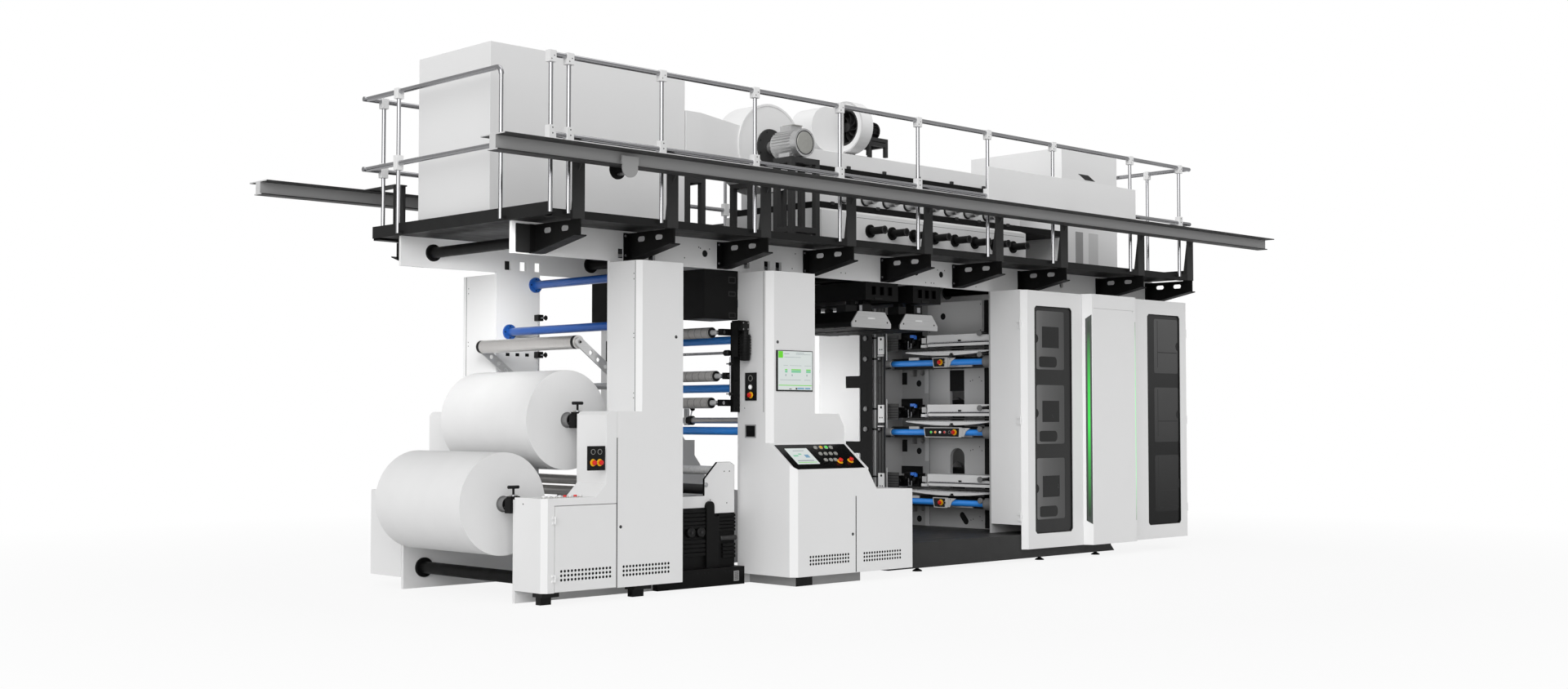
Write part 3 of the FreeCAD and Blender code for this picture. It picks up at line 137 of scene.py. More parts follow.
def parts_of(mat):
    """A surface's node tree, its shader, and the colour that its ramp gives."""
    tree = mat.node_tree
    ramp = next(node for node in tree.nodes if node.type == "VALTORGB")
    return tree, tree.nodes["Principled BSDF"], ramp.outputs["Color"]


def glowing(name, tone, strength, base=0.02):
    mat = surface(name, base, 0.3)
    tree, shader, _ = parts_of(mat)
    fill(tree, shader, Emission_Color=linear(tone), Emission_Strength=strength)
    return mat


def graded(mat, axis, stops, emission=False):
    """Colour that changes along one axis of the machine: stops are (metres, display colour) pairs."""
    tree, shader, base = parts_of(mat)
    split = add(tree, "SeparateXYZ", place(tree))
    low, high = stops[0][0], stops[-1][0]
    along = add(tree, "MapRange", split.outputs[axis], low, high)
    ramp = add(tree, "ValToRGB", along.outputs["Result"])
    spots = ramp.color_ramp.elements
    while len(spots) < len(stops):
        spots.new(0.5)
    for spot, (metres, tone) in zip(spots, stops):
        spot.position = (metres - low) / (high - low)
    for spot, (metres, tone) in zip(spots, stops):
        spot.color = linear(tone)
    if emission:
        fill(tree, shader, Emission_Color=ramp.outputs["Color"], Emission_Strength=1.0)
    else:
        mix = add(tree, "MixRGB", 1.0, base, ramp.outputs["Color"], blend_type="MULTIPLY")
        feed(tree, shader.inputs["Base Color"], mix.outputs["Color"])
    return mat


def taped_roller():
    """Roller wound with a grip tape: a light ground with thin dark seams round it."""
    mat = surface("grip_tape", (0.74, 0.73, 0.72), 0.55, drift=0.08, size=0.02, grain=0.5, grain_size=0.003)
    tree, shader, base = parts_of(mat)
    split = add(tree, "SeparateXYZ", place(tree))
    turns = add(tree, "Math", split.outputs["Y"], 0.042, operation="PINGPONG")
    line = add(tree, "Math", turns.outputs["Value"], 0.0022, operation="LESS_THAN")
    mix = add(tree, "MixRGB", line.outputs["Value"], base, linear((0.30, 0.29, 0.29)))
    feed(tree, shader.inputs["Base Color"], mix.outputs["Color"])
    return mat


LOOKS = {
    "white": surface("white_powder_coat", 0.905, 0.42, drift=0.008, size=1.6, grain=0.10, grain_size=0.006),
    "light": surface("light_grey_coat", 0.80, 0.45, drift=0.012, size=1.4, grain=0.10, grain_size=0.006),
    "wall_grey": surface("wall_grey_coat", 0.68, 0.5, drift=0.02, size=1.0, grain=0.1, grain_size=0.006),
    "mid": surface("mid_grey_coat", 0.60, 0.45, drift=0.02, size=1.2, grain=0.12, grain_size=0.006),
    "steel_grey": surface("dark_grey_coat", 0.20, 0.5, drift=0.05, size=0.8, grain=0.2, grain_size=0.005,
                          shine=0.3),
    "deck_grey": surface("deck_coat", 0.12, 0.5, drift=0.06, size=0.8, grain=0.2, grain_size=0.005,
                         shine=0.2),
    "black": surface("black_coat", 0.06, 0.48, drift=0.08, size=0.6, grain=0.2, grain_size=0.004,
                     shine=0.15),
    "plastic": surface("black_plastic", 0.075, 0.38, drift=0.05, size=0.1, grain=0.25, grain_size=0.0015,
                       shine=0.25),
    "gloss_black": surface("panel_black", 0.045, 0.2, drift=0.05, size=0.2, grain=0.02, shine=0.3),
    "hole": surface("opening_black", 0.03, 0.9, drift=0.05, size=0.05),
    "chrome": surface("chrome", (0.70, 0.70, 0.71), 0.14, 1.0, drift=0.02, size=0.3, grain=0.02, uneven=0.3),
    "steel": surface("bright_steel", (0.72, 0.72, 0.73), 0.3, 1.0, drift=0.05, size=0.05, grain=0.1,
                     grain_size=0.002, uneven=0.3),
    "brushed": surface("brushed_aluminium", 0.84, 0.38, 0.85, drift=0.05, size=0.04, grain=0.25,
                       grain_size=0.003, stretch=(0.15, 4.0, 4.0), uneven=0.25),
    "turned": surface("turned_aluminium", (0.86, 0.85, 0.84), 0.34, 0.8, drift=0.03, size=0.03, grain=0.2,
                      grain_size=0.003, stretch=(0.3, 6.0, 0.3), uneven=0.2),
    "dark_roller": surface("dark_roller", 0.22, 0.35, 0.4, drift=0.06, size=0.2, grain=0.1),
    "blue": graded(surface("blue_anodised", (0.20, 0.60, 1.0), 0.34, drift=0.04, size=0.3, grain=0.05,
                   stretch=(3, 0.3, 3), coat=0.5), "X", [(-4.0, (0.60, 0.50, 0.58)),
                   (-2.9, (0.66, 0.58, 0.66)), (-2.6, (1, 1, 1))]),
    "blue_fitting": surface("blue_plastic", (0.16, 0.45, 0.85), 0.35, drift=0.03, size=0.1, grain=0.1),
    "paper": surface("reel_paper", 0.90, 0.75, drift=0.015, size=0.3, grain=0.15, grain_size=0.002),
    "tape": taped_roller(),
    "fleece": surface("fleece", 0.90, 0.9, drift=0.08, size=0.02, grain=1.0, grain_size=0.012),
    "rubber_and_inlet_shade": surface("rubber_and_inlet_shade", 0.16, 0.7, drift=0.08, size=0.06, grain=0.3, grain_size=0.003),
    "knob": surface("grey_knob", 0.47, 0.5, drift=0.04, size=0.03, grain=0.3, grain_size=0.002),
    "red": surface("red_cap", (0.86, 0.10, 0.07), 0.32, drift=0.04, size=0.02, grain=0.05, coat=0.3),
    "yellow": surface("yellow_collar", (0.95, 0.72, 0.05), 0.38, drift=0.04, size=0.02, grain=0.05),
    "green": glowing("green_lamp", (0.35, 0.85, 0.35), 0.5, (0.3, 0.75, 0.3)),
    "orange": glowing("orange_lamp", (0.95, 0.60, 0.30), 0.5, (0.8, 0.5, 0.2)),
    "lamp_white": glowing("white_lamp", 0.95, 0.4, 0.9),
    "lamp_red": glowing("red_lamp", (0.85, 0.25, 0.25), 0.3, (0.7, 0.2, 0.2)),
    "silver_cap": surface("silver_cap", (0.70, 0.70, 0.68), 0.32, 0.5, drift=0.04, size=0.02, grain=0.05),
    "screen": glowing("screen_ground", (0.93, 0.96, 0.95), 0.75, 0.1),
    "screen_green": glowing("screen_green", (0.45, 0.90, 0.20), 0.8, (0.05, 0.08, 0.03)),
    "screen_mint": glowing("screen_mint", (0.55, 0.85, 0.68), 0.8, (0.05, 0.08, 0.06)),
    "screen_blue": glowing("screen_blue", (0.50, 0.68, 0.80), 0.8, (0.05, 0.06, 0.08)),
    "screen_grey": glowing("screen_grey", (0.62, 0.66, 0.68), 0.8, 0.05),
    "led": graded(surface("green_led", (0.03, 0.12, 0.04), 0.3), "Z", ((0.45, (0.02, 0.09, 0.03)),
                  (0.95, (0.10, 0.62, 0.20)), (1.35, (0.16, 0.90, 0.28)), (1.75, (0.10, 0.80, 0.22)),
                  (2.30, (0.02, 0.10, 0.03))), True),
    "led_pale": graded(surface("pale_led", (0.55, 0.60, 0.55), 0.3), "Z", ((0.35, (0.30, 0.32, 0.30)),
                       (0.80, (0.50, 0.88, 0.58)), (1.60, (0.42, 0.90, 0.52)), (2.15, (0.52, 0.75, 0.55)),
                       (2.43, (0.30, 0.31, 0.30))), True),
    "led_end": surface("led_dark_end", (0.16, 0.19, 0.17), 0.3, drift=0.05),
    "tint": surface("tinted_pane", 0.19, 0.2, drift=0.05, size=0.8, shine=0.25),
    # Painted shade: the right pane darkens towards the bottom, and so do the fields on it.
    "tint_right": graded(surface("right_pane", 0.22, 0.2, drift=0.05, size=0.8, shine=0.2), "Z",
                         ((0.27, 0.20), (1.10, 0.62), (2.53, 1.0))),
    "tint_dark": surface("dark_shape", 0.17, 0.25, drift=0.05, size=0.8, shine=0.2),
    # Painted shade: the fields in the left pane darken towards +X.
    "tint_light": graded(surface("light_pane", 0.46, 0.2, drift=0.04, size=0.5, shine=0.25), "X",
                         ((1.66, 1.0), (1.80, 0.84), (2.14, 0.70))),
    "tint_field": graded(surface("right_field", 0.35, 0.2, drift=0.04, size=0.5, shine=0.2), "Z",
                         ((0.27, 0.30), (1.10, 0.66), (2.53, 1.0))),
    "guard": surface("smoked_guard", 0.24, 0.3, drift=0.10, size=0.5, shine=0.3),
}


# Shapes
class Face:
    """A flat place on the machine: a point from u and v along it, and w out of it."""

    def __init__(self, origin, u, v):
        self.origin, self.u, self.v = Vector(origin), Vector(u), Vector(v)
        self.n = self.u.cross(self.v)

    def at(self, u, v, w=0.0):
        return self.origin + self.u * u + self.v * v + self.n * w


def front(y):
    return Face((0, y, 0), X, Z)


def back(y):
    return Face((0, y, 0), -X, Z)


def left(x):
    return Face((x, 0, 0), -Y, Z)


def right(x):
    return Face((x, 0, 0), Y, Z)


def rounded(u0, u1, v0, v1, r, steps=4):
    """Outline of a rectangle with round corners."""
    points = []
    corners = (u1 - r, v0 + r), (u1 - r, v1 - r), (u0 + r, v1 - r), (u0 + r, v0 + r)
    for (cu, cv), start in zip(corners, (-90, 0, 90, 180)):
        for k in range(steps + 1):
            a = math.radians(start + 90 * k / steps)
            points.append((cu + r * math.cos(a), cv + r * math.sin(a)))
    return points


def spokes_round(direction, n, first=0.0):
    """A direction of length one, and n spokes of length one square to it."""
    d = Vector(direction).normalized()
    u = d.orthogonal().normalized()
    v = d.cross(u)
    turns = (2 * math.pi * (k + first) / n for k in range(n))
    return d, [u * math.cos(a) + v * math.sin(a) for a in turns]


class Shape:
    """A mesh in the making, in millimetres."""

    def __init__(self):
        self.bm = bmesh.new()

    def box(self, x0, x1, y0, y1, z0, z1):
        v = [self.bm.verts.new((x, y, z)) for x in (x0, x1) for y in (y0, y1) for z in (z0, z1)]
        for corners in ((0, 1, 3, 2), (4, 6, 7, 5), (0, 4, 5, 1), (2, 3, 7, 6), (0, 2, 6, 4), (1, 5, 7, 3)):
            self.bm.faces.new([v[k] for k in corners])
        return self

    def slab(self, face, outline, w0, w1):
        """An outline on a face, carried out of it from w0 to w1."""
        low = [self.bm.verts.new(face.at(u, v, w0)) for u, v in outline]
        high = [self.bm.verts.new(face.at(u, v, w1)) for u, v in outline]
        self.bm.faces.new(list(reversed(low)))
        self.bm.faces.new(high)
        for i in range(len(outline)):
            j = (i + 1) % len(outline)
            self.bm.faces.new((low[i], low[j], high[j], high[i]))
        return self

    def plate(self, face, u0, u1, v0, v1, w0, w1, r=0.0):
        outline = rounded(u0, u1, v0, v1, r) if r else [(u0, v0), (u1, v0), (u1, v1), (u0, v1)]
        return self.slab(face, outline, w0, w1)

    def frame(self, face, outer, inner, w0, w1):
        """A ring between two outlines with the same number of points."""
        rows = [[self.bm.verts.new(face.at(u, v, w)) for u, v in line]
                for line, w in ((outer, w0), (outer, w1), (inner, w1), (inner, w0))]
        n = len(outer)
        for a in range(4):
            one, two = rows[a], rows[(a + 1) % 4]
            for i in range(n):
                j = (i + 1) % n
                self.bm.faces.new((one[i], one[j], two[j], two[i]))
        return self

    def turn(self, start, direction, profile, n=20):
        """A profile of (distance, radius) pairs turned round a line."""
        d, spokes = spokes_round(direction, n)
        rows = []
        for t, r in profile:
            centre = Vector(start) + d * t
            here = spokes if r > 0 else spokes[:1]
            rows.append([self.bm.verts.new(centre + spoke * r) for spoke in here])
        for one, two in zip(rows, rows[1:]):
            for k in range(n):
                j = (k + 1) % n
                if len(one) == 1:
                    self.bm.faces.new((one[0], two[j], two[k]))
                elif len(two) == 1:
                    self.bm.faces.new((one[k], one[j], two[0]))
                else:
                    self.bm.faces.new((one[k], one[j], two[j], two[k]))
        return self

    def rod(self, start, end, r, n=20, bevel=0.0):
        start, end = Vector(start), Vector(end)
        length = (end - start).length
        b = min(bevel, r * 0.5, length * 0.5)
        if not b:
            return self.disc(start, end - start, r, length, n)
        profile = [(0, 0), (0, r - b), (b, r), (length - b, r), (length, r - b), (length, 0)]
        return self.turn(start, end - start, profile, n)

    def disc(self, start, direction, r, t=0.6, n=24):
        return self.turn(start, direction, [(0, 0), (0, r), (t, r), (t, 0)], n)

    def ring(self, start, direction, r0, r1, t, n=24):
        return self.turn(start, direction, [(0, r0), (0, r1), (t, r1), (t, r0), (0, r0)], n)

    def done(self, name, material, body=ROOT, bevel=0.0, slot=None):
        bmesh.ops.remove_doubles(self.bm, verts=self.bm.verts, dist=0.001)
        bmesh.ops.recalc_face_normals(self.bm, faces=self.bm.faces)
        bmesh.ops.scale(self.bm, vec=(MM, MM, MM), verts=self.bm.verts)
        mesh = bpy.data.meshes.new(name)
        self.bm.to_mesh(mesh)
        self.bm.free()
        mesh.shade_smooth()
        mesh.set_sharp_from_angle(angle=math.radians(32))
        mesh.materials.append(material)
        obj = bpy.data.objects.new(name, mesh)
        scene.collection.objects.link(obj)
        if bevel:
            soften(obj, bevel)
        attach(obj, body)
        return obj


def soften(obj, width, weld=False):
    """Small round on the sharp edges."""
    if weld:
        join = obj.modifiers.new("join", "WELD")
        join.merge_threshold = 0.00001
        flat = obj.modifiers.new("flat", "DECIMATE")
        flat.decimate_type = "DISSOLVE"
        flat.angle_limit = math.radians(0.5)
    edge = obj.modifiers.new("edges", "BEVEL")
    edge.width = width * MM
    edge.segments = 2
    edge.limit_method = "ANGLE"
    edge.angle_limit = math.radians(35)
    edge.use_clamp_overlap = True
    edge.harden_normals = True


SLOTS = {"white": "white_paint", "light": "light_grey_paint", "mid": "mid_grey_paint",
         "steel_grey": "dark_grey_paint", "black": "black_paint", "plastic": "black_paint",
         "steel": "brushed_metal", "brushed": "brushed_metal"}


class Kit:
    """The small pieces of one region, one object for each material."""

    def __init__(self, prefix, body=ROOT, bevel=None):
        self.prefix, self.body, self.bevel, self.shapes = prefix, body, bevel or {}, {}

    def __getitem__(self, key):
        return self.shapes.setdefault(key, Shape())

    def done(self):
        for key, shape in self.shapes.items():
            name = self.prefix + "_" + key
            shape.done(name, LOOKS[key], self.body, self.bevel.get(key, 0.0), SLOTS.get(key))


# Controls and fasteners
def e_stop(kit, face, u, v, w=0.0, r=20.0):
    at = face.at(u, v, w)
    kit["yellow"].turn(at, face.n, [(0, 0), (0, 1.4 * r), (3, 1.4 * r), (5, 1.28 * r), (5, 0)], 24)
    cap = [(5, 0), (5, 0.55 * r), (14, 0.55 * r), (17, 0.95 * r), (24, r), (29, 0.9 * r), (32, 0.6 * r),
           (32.5, 0)]
    kit["red"].turn(at, face.n, cap, 24)


def lamp(kit, face, u, v, key, w=0.0, r=10.0):
    at = face.at(u, v, w)
    kit["silver_cap"].turn(at, face.n, [(0, 0), (0, 1.4 * r), (3, 1.4 * r), (5, 1.2 * r), (5, 0)], 20)
    kit[key].turn(at, face.n, [(5, 0), (5, 1.05 * r), (9, 1.05 * r), (11, 0.8 * r), (11.6, 0)], 20)


def ring_key(kit, face, u, v, w=0.0, r=15.0):
    at = face.at(u, v, w)
    kit["silver_cap"].ring(at, face.n, 0.84 * r, r, 3.0)
    kit["plastic"].turn(at, face.n, [(0, 0), (0, 0.8 * r), (4, 0.76 * r), (5, 0.6 * r), (5, 0)], 20)


def bolt(kit, face, u, v, w=0.0, r=7.0, key="steel"):
    at = face.at(u, v, w)
    top = 1.5 + 0.7 * r
    kit[key].disc(at, face.n, 1.45 * r, 1.5, 12)
    kit[key].turn(at, face.n, [(1.5, 0), (1.5, r), (top, r), (top + 0.3, 0.8 * r), (top + 0.3, 0)], 6)


def screw(kit, face, u, v, w=0.0, r=5.0, key="hole"):
    head = [(0, 0), (0, r), (0.8, r * 0.9), (0.8, r * 0.55), (0.3, r * 0.4), (0.3, 0)]
    kit[key].turn(face.at(u, v, w), face.n, head, 10)


def vents(kit, face, u0, u1, v0, v1, r=11.0):
    """A field of round air holes, 15 along and 3 high, drawn as dark dishes."""
    dish = [(0, 0), (0, r), (0.9, r * 0.95), (0.9, r * 0.75), (0.3, r * 0.7), (0.3, 0)]
    for i in range(15):
        for j in range(3):
            kit["hole"].turn(face.at(u0 + (u1 - u0) * i / 14, v0 + (v1 - v0) * j / 2), face.n, dish, 10)


def lock(kit, face, u, v, w=0.0):
    at = face.at(u, v, w)
    kit["plastic"].turn(at, face.n, [(0, 0), (0, 13), (3, 12), (3, 8.5), (1.5, 8.5), (1.5, 0)], 16)
    kit["steel"].turn(at, face.n, [(1.5, 0), (1.5, 4), (3.0, 3.4), (3.0, 0)], 12)


def seam(kit, face, u0, u1, v0, v1):
    """The shadow line of a joint between two sheets."""
    kit["hole"].plate(face, u0, u1, v0, v1, 0, 0.6)


def wing_knob(kit, at, direction, length, r):
    """Stem with a three-lobed grip on its end."""
    at, d = Vector(at), Vector(direction).normalized()
    kit["steel"].rod(at, at + d * length, 6.0, 12)
    grip = [(0, 0), (0, r * 0.6), (8, r * 0.75), (12, r), (20, r), (26, r * 0.7), (27, 0)]
    kit["plastic"].turn(at + d * (length - 6), d, grip, 6)


def bolt_circle(kit, at, direction, radius, count, r, key="hole"):
    head = [(0, 0), (0, r), (1.5, r), (1.5, r * 0.6), (0.5, r * 0.55), (0.5, 0)]
    d, spokes = spokes_round(direction, count, 0.5)
    for spoke in spokes:
        kit[key].turn(Vector(at) + spoke * radius, d, head, 10)


# Materials of the model's own nodes
WHITE_SHEETS = ("unwind_cabinets", "unwind_door", "console_cabinet", "drive_side_cabinets", "print_housing",
                "print_door_left", "print_door_right", "roof_cabinets", "sign_panel", "rail_clamps",
                "dryer_tunnels", "side_frames", "bridge_beams")
NODE_LOOKS = {
    "white": WHITE_SHEETS + ("blower_housings", "exhaust_fan"),
    "light": ("deck_control_boxes",),
    "wall_grey": ("print_frames",),
    "mid": ("monorail_beams", "hoist_trolley"),
    "steel_grey": ("monorail_posts", "machine_plinths", "blower_stands"),
    "deck_grey": ("platform_deck",),
    "black": ("walkway_brackets", "reel_clamps", "dark_tie_tubes", "infeed_stand", "infeed_drives",
              "web_dryers", "dryer_fittings"),
    "blue": ("blue_tie_tubes",),
    "brushed": ("swing_arm", "dryer_cylinders", "ink_decks", "blower_motors"),
    "turned": ("rider_roller",),
    "chrome": ("handrails",),
    "dark_roller": ("web_rollers",),
    "tape": tuple(INFEED),
    "paper": ("lower_reel", "upper_reel"),
    "tint": ("left_door_window",),
    "tint_right": ("right_door_window",),
}
for key, names in NODE_LOOKS.items():
    for name in names:
        materials = nodes[name].data.materials
        materials.clear()
        materials.append(LOOKS[key])


def paint(name, key, test):
    """Gives the faces that pass the test, by centre and normal in millimetres, another material."""
    data = nodes[name].data
    data.materials.append(LOOKS[key])
    index = len(data.materials) - 1
    for face in data.polygons:
        if test(face.center / MM, face.normal):
            face.material_index = index


def off_axis(p, axis_x, axis_z):
    return math.hypot(p.x - axis_x, p.z - axis_z)


for name, (rx, rz) in REELS.items():
    paint(name + "_reel", "knob", lambda p, n: off_axis(p, rx, rz) < 56 and abs(p.y) > 600.5)
    paint(name + "_reel", "dark_roller", lambda p, n: off_axis(p, rx, rz) < 31 and abs(p.y) > 600.5)
paint("monorail_beams", "steel_grey", lambda p, n: abs(n.y) < 0.5 or abs(abs(p.y) - 1700) > 40)
paint("monorail_beams", "light", lambda p, n: abs(n.x) > 0.9)
# Painted shade: the trolley's back cheek is black for the shade it stands in; the front cheek keeps its mid
# grey.
paint("hoist_trolley", "black", lambda p, n: p.y > -1700)
paint("exhaust_fan", "plastic", lambda p, n: p.x > 150.5)
# Painted shade: the fan's inlet mouth is dark grey for the shade inside it.
paint("exhaust_fan", "rubber_and_inlet_shade", lambda p, n: p.x < 150 and math.hypot(p.y - FAN[0], p.z - FAN[1]) < 186)
paint("ink_decks", "white", lambda p, n: n.x < -0.5 or n.z > 0.9)
paint("web_dryers", "brushed", lambda p, n: p.y < -787 and p.z < 2420)
# Under the unwinder and infeed the plinth is black: its own dark base, deepened by painted shade under the
# cabinets. Under the console it is mid grey, a painted shadow on the floor.
paint("machine_plinths", "black", lambda p, n: p.x < -1900)
paint("machine_plinths", "mid", lambda p, n: -1900 < p.x < -640)
paint("web_rollers", "turned", lambda p, n: p.x < -1700 and abs(p.z - 1394) < 40)
paint("web_rollers", "fleece", lambda p, n: p.x < -2000 and abs(p.z - 964) < 40)
paint("web_rollers", "turned", lambda p, n: p.x < -2900)
for name, (x, z) in INFEED.items():
    paint(name, "plastic", lambda p, n: abs(n.y) > 0.9 and off_axis(p, x, z) < 47)
    paint(name, "steel", lambda p, n: abs(p.y) > 600.5)
for name in WHITE_SHEETS + ("machine_plinths", "infeed_drives", "platform_deck", "monorail_beams",
                            "deck_control_boxes"):
    soften(nodes[name], 2.5, weld=True)

# Unwinder: air holes, locks, controls, seams, feet
unwind = Kit("unwinder")
face = front(-CABINET)
vents(unwind, face, -3544, -3085, 191, 257)
lock(unwind, face, -3576, 568)
lock(unwind, face, -3011, 2068)
unwind["gloss_black"].plate(face, -3909, -3738, 1012, 1200, 0, 8, 4)
for x in (-3857, -3792):
    ring_key(unwind, face, x, 1155, 8, 21)
    e_stop(unwind, face, x, 1072, 8)
for i, key in enumerate(("white", "white", "white", "white", "red", "white", "red", "white")):
    at = (-4255 + 50 * i, -1085, 808)
    unwind["silver_cap"].turn(at, Z, [(0, 0), (0, 17), (4, 17), (6, 15), (6, 0)], 20)
    unwind[key].turn(at, Z, [(6, 0), (6, 14), (16, 14), (19, 11), (19, 0)], 20)
screw(unwind, left(-4316), 909, 761, 0, 6)
column_side = left(-3400)
for seam_at, screw_at in ((1124, 1108), (-1229, -1196)):
    seam(unwind, column_side, seam_at, seam_at + 5, 1463, 2665)
    for z in (2563, 2519, 2086, 2052, 1613, 1575):
        screw(unwind, column_side, screw_at, z)
seam(unwind, face, -3617, -3609, 97, 1262)
for x0, x1 in ((-4290, -4130), (-3395, -3220)):
    unwind["plastic"].box(x0, x1, -1120, -1000, 62, 97).box(x0 + 30, x1 - 30, -1060, -1000, 0, 62)
# fittings on the far side plate, seen between the columns
face = front(INNER)
for z in (2300, 1972):
    unwind["plastic"].plate(face, -2995, -2938, z - 26, z + 30, 0, 60, 5)
    wing_knob(unwind, face.at(-2966, z, 60), -Y + X * 0.4, 40, 24)
unwind["steel"].rod(face.at(-2970, 1700, 30), face.at(-2970, 2300, 30), 8, 14)
for x in (-3278, -3175, -3071):
    unwind["hole"].plate(face, x - 20, x + 20, 1957, 1985, 0, 1.0, 3)
for x, z in ((-2987, 2594), (-3263, 2167)):
    bolt_circle(unwind, face.at(x, z, 16), -Y, 51, 4, 7)
unwind.done()

door = Kit("unwind_leaf", "unwind_door")
vents(door, front(-CABINET), -4149, -3679, 191, 257)
door.done()

# Reel cores, and clamp details on the saddles
for name, (rx, rz) in REELS.items():
    kit = Kit(name + "_core", name + "_reel")
    for s in (-1, 1):
        kit["knob"].ring((rx, 600 * s, rz), Y * s, 52.5, 64, 3)
        kit["plastic"].ring((rx, 662 * s, rz), Y * s, 30.5, 50, 4)
        for k in range(3):
            a = math.radians(90 + 120 * k)
            kit["steel"].disc((rx + 40 * math.cos(a), 662 * s, rz + 40 * math.sin(a)), Y * s, 6, 10, 6)
    kit.done()
saddles = Kit("saddle_trim")
for rx, rz in REELS.values():
    for s in (-1, 1):
        y = s * (INNER - 35)
        saddles["steel"].ring((rx, y, rz + 64), Z, 9.5, 18, 12)
        for dx in (-34, 34):
            saddles["silver_cap"].rod((rx + dx, y, rz + 64), (rx + dx, y, rz + 74), 9, 12, 1.5)
        saddles["plastic"].rod((rx - 52, y, rz + 134), (rx + 52, y, rz + 134), 13, 16, 4)
saddles.done()

# Swing arm and rider roller
arm = Kit("arm_trim", "swing_arm")
for s in (-1, 1):
    bolt(arm, front(-698) if s < 0 else back(698), -s * RIDER[0], RIDER[1], 0, 11, "plastic")
    arm["plastic"].ring((RIDER[0] + 468, s * 698, RIDER[1] - 344), Y * s, 28.5, 44, 8)
arm.done()
rider = Kit("rider_trim", "rider_roller")
for s in (-1, 1):
    rider["plastic"].ring((RIDER[0], s * 640, RIDER[1]), Y * s, 14, 55.6, 34)
    rider["hole"].ring((RIDER[0], s * 674, RIDER[1]), Y * s, 14.2, 34, 1)
rider.done()

# Bridge: bolts of the brackets, tube ends, web dryers
bridge = Kit("bridge_trim")
face = front(-PLATE)
for x in (-4049, -2371, 345, 708):
    bridge["hole"].disc(face.at(x, 2810, -1), -Y, 29)
    for dx in (-52, 52):
        screw(bridge, face, x + dx, 2852, 0, 6)
for x in (-3203, -2177, -1138, -110, 930):
    for dx, z in ((-40, 2735), (40, 2735), (-40, 2895), (40, 2895)):
        bolt(bridge, front(-810), x + dx, z, 0, 8)
for x, z in ((-2600, 2760), (-2440, 2860), (-1330, 2745), (-1290, 2880), (-890, 2850), (-700, 2745),
             (-640, 2745), (480, 2850), (480, 2720), (560, 2720), (600, 2720), (1180, 2850), (1240, 2720)):
    screw(bridge, face, x, z, 0, 6)
bridge.done()
dryers = Kit("dryer_trim", bevel={"brushed": 1.0})
face = front(-PLATE)
for x0, x1 in ((-557, -20), (107, 653)):
    mid = (x0 + x1) / 2
    for x in (x0 + 52, x1 - 52):
        screw(dryers, face, x, 2310, 0, 9)
    dryers["white"].plate(face, mid - 52, mid + 48, 2337, 2350, 0, 1.2, 5)
    for k in range(9):
        y = -700 + 150 * k
        dryers["plastic"].box(x0 + 30, x1 - 30, y, y + 12, 2251, 2256)
for x0, x1 in ((-370, 80), (295, 700)):
    step = (x1 - x0) / 4
    for i in (1, 2, 3):
        x = x0 + step * i
        outer, inner = rounded(x - 34, x + 34, 2560, 2652, 4), rounded(x - 28, x + 28, 2566, 2646, 3)
        dryers["black"].frame(face, outer, inner, 0, 2)
    dryers["plastic"].box(x0 + 120, x0 + 230, -806, -800, 2524, 2540)
dryers["plastic"].box(-470, -320, -640, -520, 2405, 2470).box(-250, -120, -640, -520, 2405, 2490)
dryers["steel"].box(-300, -262, -655, -640, 2420, 2475)
dryers["plastic"].box(200, 300, -700, -560, 2405, 2480).box(420, 540, -700, -600, 2405, 2500)
dryers["steel"].box(455, 500, -712, -700, 2430, 2480)
dryers.done()

# Infeed: roller ends, rail, threaded rod, gear motor, ribs
infeed = Kit("infeed", bevel={"black": 1.5})
for z0, z1 in ((1500, 1592), (1730, 1826), (2106, 2200)):
    for z in (z0, z1):
        bolt(infeed, front(-PLATE), -2000, z, 0, 7, "plastic")
infeed["steel"].rod((-2064, -786, 1600), (-2064, -786, 1940), 7, 12)
for z in (1622, 1880):
    infeed["plastic"].rod((-2064, -786, z - 14), (-2064, -786, z + 14), 13, 8, 2)
    infeed["steel"].rod((-2110, -786, z), (-2018, -786, z), 6, 10, 2)
infeed["steel"].rod((-2050, -725, 1976), (-2050, 768, 1976), 12, 16)
infeed["plastic"].rod((-2050, -762, 1976), (-2050, -700, 1976), 26, 20, 6)
for k in range(7):
    z = 1962 + 24 * k
    infeed["black"].ring((-2012, -915, z), Z, 46, 53, 8, 28)
infeed["black"].turn((-2012, -915, 1905), Z, [(0, 0), (0, 34), (6, 42), (35, 46), (35, 0)], 24)
infeed["black"].plate(front(-875), -2056, -1968, 2160, 2246, 0, 46, 8)
infeed["plastic"].plate(front(-921), -2046, -1978, 2170, 2236, 0, 4, 5)
for x in (-2040, -1984):
    for z in (2176, 2230):
        bolt(infeed, front(-925), x, z, 0, 5)
for u0, v0, v1 in ((-2071, 2577, 2633), (-2071, 2464, 2506), (-2067, 2276, 2324)):
    outer, inner = rounded(u0, -1990, v0, v1, 4), rounded(u0 + 7, -1997, v0 + 7, v1 - 7, 3)
    infeed["steel_grey"].frame(front(-INNER), outer, inner, 0, 1.5)
infeed["turned"].rod((-1850, -768, 1394), (-1850, 768, 1394), 27, 24)
infeed["plastic"].rod((-1850, -62, 1394), (-1850, 0, 1394), 42, 20, 6)
wing_knob(infeed, (-1850, -30, 1430), Z + X * 0.3, 60, 26)
infeed["light"].box(-1880, -1856, -20, 30, 1350, 1500)
for z0, z1 in ((230, 360), (480, 592)):
    for k in range(4):
        z = z0 + 14 + (z1 - z0 - 20) * k / 3
        infeed["plastic"].box(-2196, -2190, -748, 748, z - 5, z + 5)
for x in (-2330, -2250):
    infeed["plastic"].rod((x, -760, 626), (x, -700, 626), 46, 24, 8)
